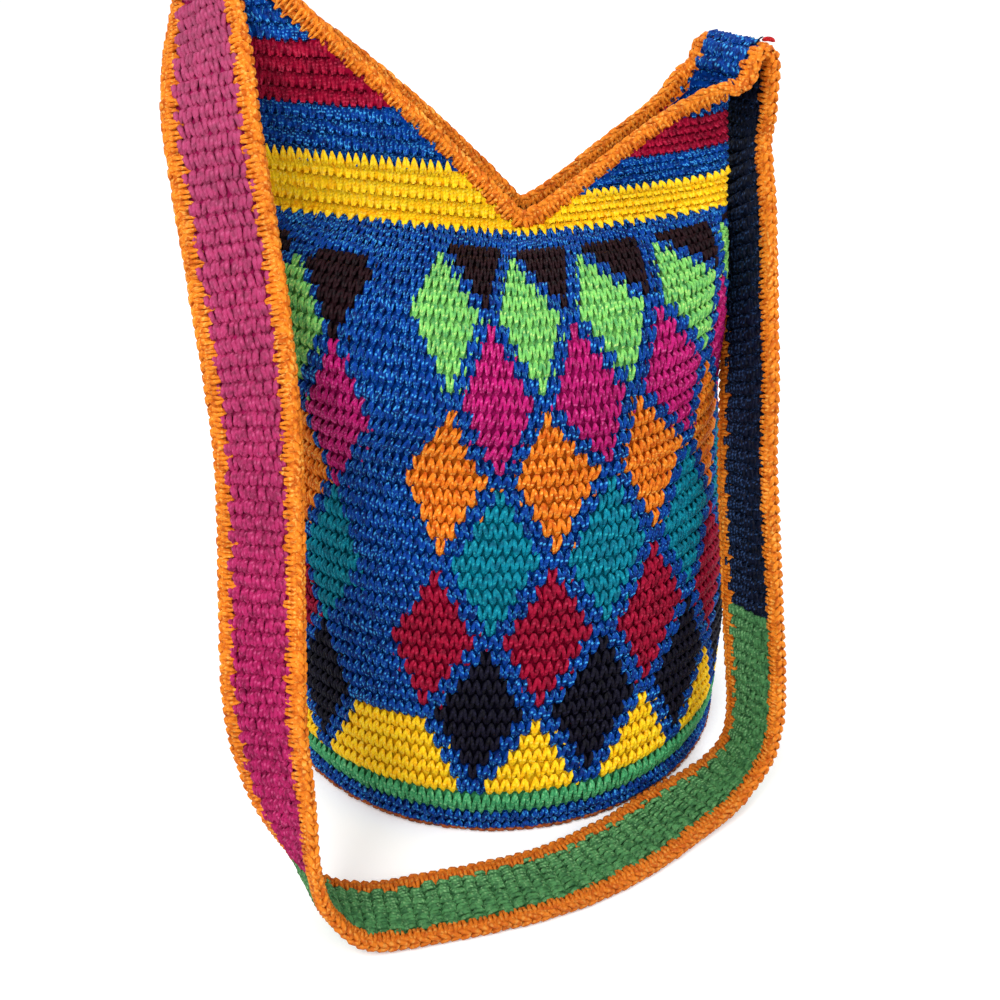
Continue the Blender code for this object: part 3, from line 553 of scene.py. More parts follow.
class Wardrobe:
    """Makes each yarn's materials once, from two shared node groups."""

    @staticmethod
    @cache
    def flecks() -> bpy.types.NodeTree:
        """Node group that mixes a yarn's three tones: deep and body in soft patches, and in streaks the third
        tone, which is partly marl fleck and partly painted glint.
        """
        wiring, given, end = Wiring.group(
            "yarn flecks", {"Deep": "Color", "Body": "Color", "Fleck": "Color", "Fleck Share": "Float",
                            "Streak Place": "Vector"}, {"Colour": "Color", "Roughness Shift": "Float"})
        place = wiring.place()
        patchy, wide = wiring.noise(place, 420), wiring.noise(place, 45)
        # Painted glints: streaks along each leg where the third tone is mixed in, partly marl fleck and
        # partly painted highlight.
        glint_streaks = wiring.noise(given["Streak Place"], 2.6, 1)
        body = wiring.mix(wiring.ranged(patchy, (0.36, 0.58)), given["Deep"], given["Body"])
        share = wiring.math("MULTIPLY", wiring.ranged(glint_streaks, (0.54, 0.66)), given["Fleck Share"])
        flecked_and_glinted = wiring.mix(share, body, given["Fleck"])
        worn = wiring.ranged(wide, (0.3, 0.7), (0.9, 1.06))
        faded = wiring.node("HueSaturation", {"Color": flecked_and_glinted, "Value": worn})
        wiring.feed(end, {"Colour": faded.outputs["Color"], "Roughness Shift": patchy})
        return wiring.tree

    @staticmethod
    @cache
    def ply() -> bpy.types.NodeTree:
        """Node group that gives the height of twisted plies along a yarn's own length."""
        wiring, given, end = Wiring.group(
            "yarn ply", {"Strands": "Float", "Twist": "Float"}, {"Height": "Float"})
        turn = wiring.node("SeparateXYZ", {"Vector": wiring.ply_map()})
        around = wiring.math("MULTIPLY", turn.outputs["X"], given["Strands"])
        ahead = wiring.math("MULTIPLY", turn.outputs["Y"], given["Twist"])
        ridge = wiring.math("ABSOLUTE", wiring.math("SINE", wiring.math("ADD", around, ahead)))
        fuzz = wiring.noise(wiring.place(), 5200)
        wiring.feed(end, {"Height": wiring.math("MULTIPLY_ADD", fuzz, 0.35, ridge)})
        return wiring.tree

    @staticmethod
    def _toned(wiring: Wiring, tones: tuple[Tone, Tone, Tone], share: float, place: Socket) -> bpy.types.Node:
        """Add the group of marl flecks and painted glints with three screen colours, the share of the third
        tone and the place of its streaks.
        """
        colours = {name: YarnFinish.linear(tone) for name, tone in zip(("Deep", "Body", "Fleck"), tones)}
        return wiring.use(Wardrobe.flecks(), {**colours, "Fleck Share": share, "Streak Place": place})

    @staticmethod
    def _faded(wiring: Wiring, colour: Socket, fade: Fade | None) -> Socket:
        """Mix in the tone that a yarn shifts to with height, where it has one."""
        if fade is None:
            return colour
        height = wiring.node("SeparateXYZ", {"Vector": wiring.place()}).outputs["Z"]
        share = wiring.ranged(height, (fade.start, fade.end), (0, fade.amount))
        return wiring.mix(share, colour, YarnFinish.linear(fade.tone))

    @staticmethod
    @cache
    def of(yarn: Yarn) -> bpy.types.Material:
        """Material of one yarn."""
        finish = yarn.value
        wiring, material, shader = Wiring.material(f"{yarn.label} yarn")
        spread = wiring.node("Mapping", {"Vector": wiring.ply_map(), "Scale": (1.6, 0.9, 1.0)})
        tones = Wardrobe._toned(wiring, (finish.deep, finish.body, finish.fleck), finish.fleck_share,
                                spread.outputs["Vector"])
        rough = wiring.ranged(tones.outputs["Roughness Shift"],
                              results=(finish.roughness - finish.rough_spread,
                                       finish.roughness + finish.rough_spread))
        plies = wiring.use(Wardrobe.ply(), {"Strands": 2 * math.pi, "Twist": 5.5})
        bump = wiring.node("Bump", {"Strength": 0.7, "Distance": 0.25 * MM,
                                    "Height": plies.outputs["Height"]})
        wiring.feed(shader, {"Base Color": Wardrobe._faded(wiring, tones.outputs["Colour"], finish.fade),
                             "Roughness": rough, "Specular IOR Level": finish.gloss,
                             "Normal": bump.outputs["Normal"]})
        return material

    @staticmethod
    @cache
    def ground(yarn: Yarn) -> bpy.types.Material:
        """Fuzzy material of the fabric that shows between the stitches, darkened as painted shade in the
        gaps.
        """
        finish = yarn.value
        wiring, material, shader = Wiring.material(f"{yarn.label} ground")
        place = wiring.place()
        spread = wiring.node("Mapping", {"Vector": place, "Scale": (400, 400, 400)})
        # Painted shade: the body tone is darkened and the glint left out, so the gaps between the stitches
        # read as shaded.
        body = tuple(0.88 * c for c in finish.body)
        tones = Wardrobe._toned(wiring, (finish.deep, body, finish.body), 0.3, spread.outputs["Vector"])
        lumps = wiring.node("TexVoronoi", {"Vector": place, "Scale": 330})
        bump = wiring.node("Bump", {"Strength": 0.8, "Distance": 0.8 * MM,
                                    "Height": lumps.outputs["Distance"]})
        bump.invert = True
        wiring.feed(shader, {"Base Color": tones.outputs["Colour"], "Roughness": 0.9,
                             "Specular IOR Level": 0.05, "Normal": bump.outputs["Normal"]})
        return material


@dataclass
class Pattern:
    """The worked pattern: bands of diamonds that alternate by half a repeat, one stitch a cell."""

    repeats: int = 14
    repeat: int = 12
    join_extra: int = 8
    first_diamond: int = -6
    reach: int = 4
    leans: tuple[tuple[int, float], ...] = ((3, -2.4), (8, -1.5), (13, -0.2), (18, 1.0), (23, 1.8),
                                            (28, 0.2), (33, -1.0), (38, -3.1), (41, -5.0))
    stretch_low: float = 0.14
    stretch_high: float = -0.16
    stretch_middle: float = 6.0
    stretch_reach: float = 26.0
    stretch_turns: tuple[int, int] = (23, 29)
    bands: tuple[tuple[int, Yarn], ...] = (
        (3, Yarn.YELLOW), (8, Yarn.BLACK), (13, Yarn.CRIMSON), (18, Yarn.TEAL),
        (23, Yarn.ORANGE), (28, Yarn.MAGENTA), (33, Yarn.LIME), (38, Yarn.BROWN))
    base: tuple[Yarn, ...] = (Yarn.BLUE, Yarn.BLUE, Yarn.GREEN)
    sags: tuple[int, ...] = (0, 0, 0, 1, 1, 2, 2, 3)
    sag_repeats: int = 4

    @property
    def stitches(self) -> int:
        """Stitches in one course of the wall."""
        return self.repeats * self.repeat + self.join_extra

    def course(self, course: int) -> tuple[np.ndarray, np.ndarray]:
        """One course of the wall.

        Args:
            course: number of the course, from 0 at the base.

        Returns:
            Place of each stitch round the bag, and its yarn's index.
        """
        first = self.first_diamond - self.repeat // 2
        places = np.arange(first, first + self.stitches)
        lean = float(np.interp(course, *zip(*self.leans)))
        yarns = [YARNS.index(self.yarn_at(course, place)) for place in places]
        return places + lean, np.array(yarns)

    def pulled(self, course: int, places: np.ndarray) -> np.ndarray:
        """Places after the pull in the wall: the front is stretched low down and narrowed higher up."""
        risen = smooth(course, *self.stretch_turns)
        amount = self.stretch_low + (self.stretch_high - self.stretch_low) * risen
        away = (places - self.stretch_middle + self.stitches / 2) % self.stitches - self.stitches / 2
        return places + amount * away * np.exp(-(away / self.stretch_reach) ** 2)

    def sag(self, band: int, number: int) -> int:
        """Courses by which a diamond lies lower in the last repeats before the join."""
        share = 1 - (self.repeats - 1 - number) / self.sag_repeats
        return round(self.sags[band] * max(share, 0))

    def yarn_at(self, course: int, place: int) -> Yarn:
        """Yarn of the stitch at a place counted from the front before the pattern leans."""
        if course < len(self.base):
            return self.base[course]
        for index, (middle, yarn) in enumerate(self.bands):
            first = self.first_diamond + index % 2 * self.repeat // 2
            number = min(max(round((place - first) / self.repeat), 0), self.repeats - 1)
            sag = self.sag(index, number)
            half = self.reach - abs(course - middle + sag)
            top = self.bands[-1][0] - (self.sag(len(self.bands) - 1, number) - 1 if sag else 0)
            if half < 0 or not self.bands[0][0] <= course <= top:
                continue
            away = place - first - self.repeat * number
            if abs(away) <= half or (index == 0 and number == 0 and -half - self.join_extra <= away < 0):
                return yarn
            if index == 0 and place - self.stitches >= first - half - self.join_extra:
                return yarn
        return Yarn.BLUE


@dataclass
class WorkedBag:
    """The bag's stitches, wall and ears, over a ground cloth in their own tones, darkened as painted shade,
    that fills the gaps.
    """

    shape: BagShape = field(default_factory=BagShape)
    pattern: Pattern = field(default_factory=Pattern)
    ground_depth: float = 0.55 * MM
    fabric: float = 4 * MM
    stripes: tuple[Yarn, ...] = (Yarn.YELLOW, Yarn.BLUE, Yarn.CRIMSON, Yarn.BLUE)
    slant: float = 0.14
    ear_courses: int = 16
    ear_gauge: float = 2.8 * MM
    lined_from: int = 7
    upper_from: int = 21
    spike_step: float = 1.8
    spike_width: float = 1.5
    spike_out: float = 2.6
    spike_slant: float = 0.25
    speck_chances: tuple[tuple[int, float], ...] = ((1, 0.45), (2, 0.22), (-1, 0.25))
    speck_slant: float = 0.1
    speck_jitter: float = 0.12
    batches: dict[str, YarnTubes] = field(default_factory=dict)

    def __post_init__(self) -> None:
        """Measure the rings once and make both ears."""
        shape = self.shape
        self.rings = [shape.ring(point[0], point[2]) for point in shape.profile()]
        self.right = EarShape(shape, 1, rise=48 * MM, turn=math.radians(35), tip_forward=3 * MM,
                              sweep=1.15, lift=shape.right_lift)
        self.left = EarShape(shape, -1, rise=88 * MM, turn=math.radians(45),
                             tip_forward=shape.mouth_forward, sweep=1.35, lift=shape.left_lift)

    def place(self, ring: int, units: np.ndarray) -> np.ndarray:
        """Points of a ring at places counted round the bag from its front."""
        return evenly(self.rings[ring], (self.pattern.pulled(ring, units) / self.pattern.stitches) % 1.0)

    def patch(self, course: int, units: np.ndarray) -> Patch:
        """Stitches of one course of the wall at places round the bag."""
        (low, left, right), (high, upper_left, upper_right) = (
            [self.place(ring, units + shift) for shift in (0, -0.5, 0.5)] for ring in (course, course + 1))
        across, up = (right + upper_right) / 2 - (left + upper_left) / 2, high - low
        return Patch((low + high) / 2, across, up, unit(np.cross(across, up)))

    def ear_patch(self, ear: EarShape, course: int, inset: float = 0.0) -> Patch:
        """Stitches of one course of an ear, on its face or, at an inset, on its inside.

        Their way out points into the fabric, which keeps the ears smoother than the wall.
        """
        low, high = (ear.course(c / self.ear_courses, inset) for c in (course, course + 1))
        count = max(round(run_of((low + high) / 2)[-1] / self.ear_gauge), 4)
        edges = np.linspace(0, 1, count + 1)
        middles = (edges[:-1] + edges[1:]) / 2
        bottom, top = evenly(low, middles), evenly(high, middles)
        halves = (evenly(low, edges) + evenly(high, edges)) / 2
        across = (halves[1:] - halves[:-1]) * ear.side
        up = top - bottom
        up = up - across * ((up * across).sum(axis=1) / (across * across).sum(axis=1))[:, None]
        across = across * (1 if inset == 0 else -1)
        return Patch((bottom + top) / 2, across, up, unit(np.cross(across, up)))

    def build(self) -> None:
        """Make every stitch of the wall and the ears, one piece a yarn, and the ground cloth."""
        for course in range(self.shape.courses):
            units, colours = self.pattern.course(course)
            patch = self.patch(course, units)
            for index in np.unique(colours):
                self._stitches(patch.pick(colours == index), YARNS[index], course)
            self._specks(patch, colours, course)
            if course == 0:
                self._batch("bag_base_line", Yarn.RUST).legs(patch, BAR, 1, 0.0, seed=course)
        for ear in (self.right, self.left):
            self._ear(ear)
        top = self.patch(self.shape.courses - 1, np.arange(0.0, self.pattern.stitches, self.spike_step))
        self._spikes(Patch(top.middle, top.across * self.spike_width, -top.up, top.out * self.spike_out))
        for batch in self.batches.values():
            batch.build("bag_yarn")
        self._ground()

    def _ear(self, ear: EarShape) -> None:
        """Add an ear's courses, and inside them the courses that are seen through the mouth."""
        first = self.shape.courses
        for course in range(self.ear_courses):
            yarn = self.stripes[course * len(self.stripes) // self.ear_courses]
            patch = self.ear_patch(ear, course)
            self._stitches(patch, yarn, first + course)
            if course == self.ear_courses // len(self.stripes):
                self._spikes(Patch(patch.middle, patch.across, patch.up, -patch.out))
            if course >= self.lined_from:
                lining = self.ear_patch(ear, course, ear.fabric)
                self._stitches(lining, yarn, first + self.ear_courses + course)

    def _batch(self, name: str, yarn: Yarn) -> YarnTubes:
        """The batch of yarn under a name, begun when it is first asked for."""
        return self.batches.setdefault(name, YarnTubes(name, yarn))

    def _spikes(self, patch: Patch) -> None:
        """Let the yellow stripe's border stitches reach over the course beside it."""
        for mirror in (1, -1):
            self.batches["bag_stitches_yellow"].legs(
                patch, SPIKE, mirror, self.spike_slant, seed=77 + mirror)

    def _stitches(self, patch: Patch, yarn: Yarn, course: int) -> None:
        """Add both legs of a course's stitches to the batch of their yarn."""
        part = "lower" if course < self.upper_from else "upper"
        batch = self._batch(f"bag_stitches_{yarn.label}" + (f"_{part}" if yarn is Yarn.BLUE else ""), yarn)
        form = V_LEG if course < self.shape.courses else RIDGE_LEG
        batch.legs(patch, form, 1, self.slant, seed=course * 7 + 1)
        batch.legs(patch, form, -1, self.slant, seed=course * 7 + 2)

    def _specks(self, patch: Patch, colours: np.ndarray, course: int) -> None:
        """Let a little of the carried yarn show through blue stitches beside the diamonds."""
        blue = YARNS.index(Yarn.BLUE)
        chance = np.random.default_rng(course).random(len(colours))
        for shift, share in self.speck_chances:
            beside = np.roll(colours, shift)
            for index in np.unique(beside[(colours == blue) & (beside != blue)]):
                chosen = patch.pick((colours == blue) & (beside == index) & (chance < share))
                self.batches[f"bag_stitches_{YARNS[index].label}"].legs(
                    chosen, SPECK, shift // abs(shift), self.speck_slant,
                    seed=course * 11 + shift, jitter=self.speck_jitter)

    def _ground(self) -> None:
        """Make the cloth under the stitches: outside, rim and inside, from base to ear tips, in the darkened
        ground tones that paint the shade in the gaps.
        """
        cloth = GroundCloth("bag_ground")
        outer, inner, colours = [], [], []
        for ring in range(self.shape.courses + 1):
            units, picked = self.pattern.course(min(ring, self.shape.courses - 1))
            colours.append([YARNS[index] for index in picked])
            units = units - 0.5
            points = self.place(ring, units)
            ahead = np.roll(points, -1, axis=0) - np.roll(points, 1, axis=0)
            above = self.place(min(ring + 1, self.shape.courses), units)
            below = self.place(max(ring - 1, 0), units)
            out = unit(np.cross(ahead, above - below))
            outer.append(points - out * self.ground_depth)
            inner.append(points - out * self.fabric)
        cloth.skin(outer, colours[:-1])
        cloth.skin(inner[::-1], [Yarn.BLUE] * self.shape.courses)
        cloth.disc(outer[0], Yarn.BLUE)
        cloth.disc(inner[0], Yarn.BLUE)
        for ear in (self.right, self.left):
            count = self.ear_courses
            face, back = ([evenly(ear.course(c / count, depth), np.linspace(0, 1, 61))
                           for c in range(count + 1)] for depth in (self.ground_depth, self.fabric))
            stripes = [self.stripes[c * len(self.stripes) // count] for c in range(count)]
            cloth.skin(face, stripes, closed=False)
            cloth.skin(back, [Yarn.BLUE] * count, closed=False)
            for end in (0, -1):
                rim = [np.array([a[end], b[end]]) for a, b in zip(face, back)]
                cloth.skin(rim, [Yarn.BRAID] * count, closed=False)
        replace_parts(cloth.build("bag_yarn"), "bag_body")


@dataclass
class GroundCloth:
    """A cloth mesh made of strips, in one yarn's tone a row or a face."""

    name: str
    corners: list[np.ndarray] = field(default_factory=list)
    faces: list[tuple[int, ...]] = field(default_factory=list)
    colours: list[Yarn] = field(default_factory=list)
    count: int = 0

    def skin(self, rows: list[np.ndarray], yarns: list[Yarn | list[Yarn]], closed: bool = True) -> None:
        """Add rows of points and the faces between them.

        Args:
            rows: rows of equal length.
            yarns: one yarn a row of faces, or a list with one a face.
            closed: whether each row runs on into its own start.
        """
        size = len(rows[0])
        starts = [self.count + size * i for i in range(len(rows))]
        self.corners.extend(rows)
        self.count += size * len(rows)
        for (low, high), yarn in zip(zip(starts, starts[1:]), yarns):
            for i in range(size if closed else size - 1):
                j = (i + 1) % size
                self.faces.append((low + i, low + j, high + j, high + i))
                self.colours.append(yarn[i] if isinstance(yarn, list) else yarn)

    def disc(self, row: np.ndarray, yarn: Yarn) -> None:
        """Close a row with a round base of stitched rings."""
        centre = row.mean(axis=0)
        self.skin([centre + (row - centre) * share for share in (1.0, 0.75, 0.5, 0.25)], [yarn] * 3)
        last = self.count - len(row)
        self.corners.append(centre[None])
        self.count += 1
        for i in range(len(row)):
            self.faces.append((last + i, last + (i + 1) % len(row), self.count - 1))
            self.colours.append(yarn)

    def build(self, slot: str) -> bpy.types.Object:
        """Make the piece and give each face its yarn's ground material, which is darkened as painted shade.
        """
        mesh = bpy.data.meshes.new(self.name)
        mesh.from_pydata(np.concatenate(self.corners).tolist(), [], self.faces)
        used = list(dict.fromkeys(self.colours))
        for yarn in used:
            mesh.materials.append(Wardrobe.ground(yarn))
        mesh.polygons.foreach_set("material_index", [used.index(yarn) for yarn in self.colours])
        mesh.polygons.foreach_set("use_smooth", [True] * len(self.faces))
        return seat(self.name, mesh)


# Route of the strap: degrees round from the front, share of the ear's height, millimetres out from
# the belly, and the way across it as degrees round from straight forward and degrees of rise.
STRAP_ROUTE = (
    (92, 0.904, -1, 22, 12), (83, 0.812, 0, 25, 14), (74, 0.716, 3, 27, 17),
    (67, 0.619, 8, 27, 18), (62, 0.531, 12, 27, 18), (60, 0.434, 16, 29, 18),
    (58.5, 0.310, 21, 31, 18), (57.5, 0.208, 25, 31, 18), (57, 0.119, 27, 27, 18),
    (55, 0.056, 26, 23, 16), (49, 0.0, 22, 22, 8), (38, 0.0, 21, 27, 2),
    (24, 0.0, 26, 20, 0), (11, 0.0, 33, 12, 0), (0, 0.0, 39, 2, 0),
    (-11, 0.0, 47, -4, 0), (-19.5, 0.0, 57, 2, 5), (-24.5, 0.053, 64, 14, 22),
    (-26.5, 0.111, 66, 26, 26), (-28.5, 0.159, 64, 46, 20), (-30.5, 0.207, 61, 58, 12),
    (-32.5, 0.270, 57, 66, 9), (-34.5, 0.344, 49, 70, 8), (-37.5, 0.460, 37, 70, 9),
    (-40.5, 0.555, 28, 72, 8), (-44, 0.639, 22, 78, 5), (-49, 0.715, 16, 84, 3),
    (-55, 0.796, 11, 84, 2), (-61, 0.872, 7, 78, 1),
)


@dataclass
class WorkedStrap:
    """The flat strap: rows worked to and fro, both faces, in lengths of four yarns."""

    bag: WorkedBag
    width: float = 31 * MM
    thickness: float = 3.6 * MM
    fold_radius: float = 4.8 * MM
    edging_width: float = 5 * MM
    edging_thickness: float = 4.4 * MM
    clearance: float = 0.3 * MM
    under_edging: float = 0.6 * MM
    rows: int = 168
    stitches: int = 7
    slants: tuple[float, float] = (0.26, -0.20)
    stitch_depth: float = 0.9 * MM
    ground_depth: float = 1.0 * MM
    jitter: float = 0.09
    lengths: tuple[tuple[Yarn, float], ...] = (
        (Yarn.BLUE, 0.0), (Yarn.NAVY, 0.02), (Yarn.LEAF, 0.275), (Yarn.PLUM, 0.60))
    route: tuple[tuple[float, float, float, float, float], ...] = STRAP_ROUTE

    def belly_point(self, degrees: float, height: float, stand_off: float) -> Vector:
        """Point at an angle round from the front, a height, and a distance out from the belly."""
        angle, shape = math.radians(degrees), self.bag.shape
        reach = stand_off + 1 / math.hypot(math.sin(angle) / shape.belly_half_width,
                                           math.cos(angle) / shape.belly_half_depth)
        return Vector((reach * math.sin(angle), -reach * math.cos(angle), height))

    def stations(self) -> tuple[list[Vector], list[Vector]]:
        """Middle of the strap and the way across it, along its route from ear to ear."""
        middles, ways = [], []
        top = self.bag.shape.mouth_height
        for degrees, share, stand_off, turn, rise in self.route:
            peak = top + (self.bag.right.rise if degrees > 0 else self.bag.left.rise)
            slant, heading = math.radians(rise), math.radians(turn)
            on_floor = self.edging_thickness / 2 + 2 * self.clearance + self.width / 2 * math.sin(slant)
            middles.append(self.belly_point(degrees, max(share * peak, on_floor), stand_off * MM))
            ways.append(Vector((math.sin(heading), -math.cos(heading), math.tan(slant))).normalized())
        right, right_way = self.fold(self.bag.right)
        left, left_way = self.fold(self.bag.left)
        middles = right + middles + left[::-1]
        ways = [right_way] * len(right) + ways + [left_way] * len(left)
        return middles, ways

    def fold(self, ear: EarShape) -> tuple[list[Vector], Vector]:
        """Points that take the strap up from an ear's tip, over, and down outside it, and the way across."""
        tip, outward, forward = ear.tip()
        radius, up = self.fold_radius, Vector((0, 0, self.fold_radius))
        points = [tip + Vector((0, 0, self.clearance)), tip + up]
        for step in (0.25, 0.5, 0.75, 1.0):
            angle = math.pi * step
            points.append(tip + outward * radius * (1 - math.cos(angle)) + up * (1 + math.sin(angle)))
        points.append(tip + outward * (2 * radius + self.clearance) - 2 * up)
        return points, forward

    def __post_init__(self) -> None:
        """Measure the strap's line once."""
        middles, ways = self.stations()
        steps = 30 * (len(middles) - 1)
        self.line, across = (np.array([spline(points, step / steps) for step in range(steps + 1)])
                             for points in (middles, ways))
        self.across = square_to(across, unit(np.gradient(self.line, axis=0)))
        self.run = run_of(self.line)
        self.total = float(self.run[-1])

    def frames(self, shares: np.ndarray) -> tuple[np.ndarray, np.ndarray, np.ndarray, np.ndarray]:
        """Middle, way along, way across and way out of the strap at shares of its length."""
        at, near = shares * self.total, 0.5 * MM
        middle, across = along(self.line, self.run, at), unit(along(self.across, self.run, at))
        ahead = unit(along(self.line, self.run, at + near) - along(self.line, self.run, at - near))
        across = square_to(across, ahead)
        return middle, ahead, across, np.cross(ahead, across)

    def yarn_at(self, share: float) -> Yarn:
        """Yarn of the strap at a share of its length."""
        return [yarn for yarn, start in self.lengths if share >= start][-1]

    def build(self) -> None:
        """Make the stitches of both faces and the ground band."""
        half = self.width / 2 - self.edging_width + self.under_edging
        shares = (np.arange(self.rows) + 0.5) * (1 / self.rows)
        middle, ahead, across, out = self.frames(shares)
        row_height = self.total * (1 / self.rows)
        batches: dict[Yarn, YarnTubes] = {}
        places = (np.arange(self.stitches) + 0.5) / self.stitches * 2 - 1
        level = self.thickness / 2 - self.stitch_depth
        for face in (1, -1):
            for row in range(self.rows):
                yarn = self.yarn_at(shares[row])
                batch = batches.setdefault(yarn, YarnTubes(f"strap_stitches_{yarn.label}", yarn))
                shift = 0.5 / self.stitches * (1 if row % 2 else -1)
                spots = (places * (1 - 0.5 / self.stitches) + shift) * half
                centres = middle[row] + across[row] * spots[:, None] + out[row] * face * level
                ways = (across[row] * 2 * half / self.stitches * face, ahead[row] * row_height,
                        out[row] * face)
                patch = Patch(centres, *(np.tile(way, (self.stitches, 1)) for way in ways))
                slant = self.slants[0] if (row % 2 == 0) == (face > 0) else self.slants[1]
                for mirror, turn in ((1, 0), (-1, 1)):
                    seed = 900 + row * 5 + (face + 1) * 1000 + turn
                    batch.legs(patch, LUMP, mirror, slant, seed, self.jitter)
        for batch in batches.values():
            batch.build("strap_yarn")
        self._ground(half)

    def _ground(self, half: float) -> None:
        """Make the band inside the strap's stitches, in their own tones darkened as painted shade."""
        shares = np.linspace(0, 1, 2 * self.rows + 1)
        middle, _, across, out = self.frames(shares)
        level = self.thickness / 2 - self.ground_depth
        corners = [middle + across * half * side + out * level * face
                   for side, face in ((1, 1), (-1, 1), (-1, -1), (1, -1))]
        cloth = GroundCloth("strap_ground")
        cloth.skin(list(np.stack(corners, axis=1)), [self.yarn_at(share) for share in shares[1:]])
        piece = cloth.build("strap_yarn")
        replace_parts(piece, "strap")


@dataclass
class BraidedEdging:
    """One braided edging: teeth that bite over the fabric's edge and a chain along its outer side."""

    front: bool
    bag: WorkedBag
    strap: WorkedStrap
    pitch: float = 3.6 * MM
    width: float = 5 * MM
    step: float = 1.2 * MM
    gap_range: tuple[float, float] = (1.5 * MM, 7 * MM)

    def rim(self, ear: EarShape) -> list[tuple[np.ndarray, np.ndarray, float]]:
        """Middle of the edging along one rim of an ear, the way out of the bag, and its size factor."""
        at = np.array([math.pi / 2]) * self.sign
        offset = self.width / 2 + 2 * self.strap.clearance
        tip_way = np.array(ear.tip()[2]) * self.sign
        step = 1 / ear.courses
        path = []
        for share in (*np.arange(1, 9.1, 0.5) * step, *np.arange(9.3, 11.6, 0.3) * step):
            outer, inner = ear.points(share, at)[0], ear.points(share, at, ear.fabric)[0]
            ahead = ear.points(min(share + step, 1.0), at)[0] - ear.points(share - step, at)[0]
            normal = unit(outer - inner)
            away = unit(np.cross(normal, ahead))
            if away @ (ear.points(share, at * 0.9)[0] - outer) > 0:
                away = -away
            swing = smooth(share, 0.7, 1) * (1 - 0.8 * smooth(share, 0.85, 1)) * 1.6 * ear.fabric
            size = 1 - 0.24 * smooth(share, 0.05, 0.3)
            path.append(((outer + inner) / 2 + away * offset + tip_way * swing, normal, size))
        return path

    def line(self) -> tuple[np.ndarray, np.ndarray, np.ndarray]:
        """Middle of the edging round its loop, the way out of the fabric's face, and its size factor."""
        sign, shape = self.sign, self.bag.shape
        offset = self.strap.width / 2 - self.width / 2
        middle, _, across, out = self.strap.frames(np.linspace(0, 1, 260))
        band = [(m + a * sign * offset, o * sign, 1.0) for m, a, o in zip(middle, across, out)]
        dip_y = -shape.mouth_forward - sign * (shape.mouth_half_depth - self.bag.fabric / 2)
        dip_z = shape.mouth_height + self.width / 2 + 3 * self.strap.clearance
        dip = (np.array([shape.mouth_dip_x, dip_y, dip_z]), np.array([0.0, -sign, 0.0]), 1.0)
        stations = [dip] + self.rim(self.bag.right) + band + self.rim(self.bag.left)[::-1] + [dip]
        return tuple(np.array([s[i] for s in stations]) for i in range(3))

    def __post_init__(self) -> None:
        """Measure the edging's loop once, in even steps."""
        self.sign = 1 if self.front else -1
        points, ways, sizes = self.line()
        run = run_of(points)
        even = np.linspace(0, run[-1], int(run[-1] / self.step))
        self.ways, self.sizes = along(ways, run, even), np.interp(even, run, sizes)[:, None]
        self.points = self._softened(along(points, run, even))
        self.run = run_of(self.points)
        self.count = int(self.run[-1] / self.pitch)

    def sample(self, table: np.ndarray, where: np.ndarray) -> np.ndarray:
        """Values of a table at distances along the closed loop."""
        return along(table, self.run, where % self.run[-1])

    def heading(self, where: np.ndarray) -> np.ndarray:
        """Way along the loop at distances along it."""
        return unit(self.sample(self.points, where + self.step) - self.sample(self.points, where - self.step))

    def build(self) -> None:
        """Make the edging's teeth on both faces, the chain along its outer side and the core within."""
        side = "front" if self.front else "back"
        tubes = YarnTubes(f"edging_stitches_{side}", Yarn.BRAID)
        self._stitches(tubes)
        tubes.build("edging_yarn")
        core = YarnTubes(f"edging_core_{side}", Yarn.BRAID, 8)
        self._core(core)
        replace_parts(core.build("edging_yarn"), f"edging_{side}")

    def _stitches(self, tubes: YarnTubes) -> None:
        """Add the teeth, two leaning legs a stitch on each face, and the chain's two legs a stitch."""
        count = self.count
        at = (np.arange(count) + 0.5) * self.run[-1] / count
        middle, size, ahead = self.sample(self.points, at), self.sample(self.sizes, at), self.heading(at)
        out = square_to(self.sample(self.ways, at), ahead)
        side, gap = self._from_fabric(middle, np.cross(ahead, out))
        step = ahead * (self.run[-1] / count)
        rng = np.random.default_rng(31 if self.front else 47)
        wobble = rng.normal(0, 0.07, (count, 1))

        def placed(across: np.ndarray, up: np.ndarray, way: np.ndarray, lift: np.ndarray) -> np.ndarray:
            """Points of every stitch: stitch widths across, metres off the fabric's edge and along a way."""
            return (middle[:, None] + step[:, None] * across[..., None]
                    + side[:, None] * up[..., None] + way[:, None] * lift[..., None])

        for face in (1, -1):
            bite = gap[:, None] + rng.choice([1.0, 1.7, 2.5], count, p=[0.3, 0.45, 0.25])[:, None] * MM * size
            for lean in (0.26, -0.24):
                across = np.array([[lean * 0.15, lean * 0.75, lean * 1.1, lean * 0.4]]) + wobble
                up = np.concatenate([-bite, -bite * 0.62, -bite * 0.1, size * 1.5 * MM], axis=1)
                lift = np.array([[0.5, 1.75, 1.95, 1.2]]) * MM * size
                radii = np.array([0.40, 0.70, 0.86, 0.6]) * MM * size * (1 + rng.normal(0, 0.08, (count, 1)))
                tubes.add(placed(across, up, out * face, lift), out * face, radii)
        for leg in (1, -1):
            across = np.array([[-0.62, -0.22, 0.22, 0.58]])
            spread = np.array([[0.05, 0.75, 1.35, 1.25]]) * leg * MM * size
            up = np.array([[2.35, 2.2, 1.9, 1.0]]) * MM * size + rng.normal(0, 0.12, (count, 1)) * MM
            tubes.add(placed(across, up, out, spread), side, np.array([[0.6, 1.0, 1.02, 0.6]]) * MM * size)

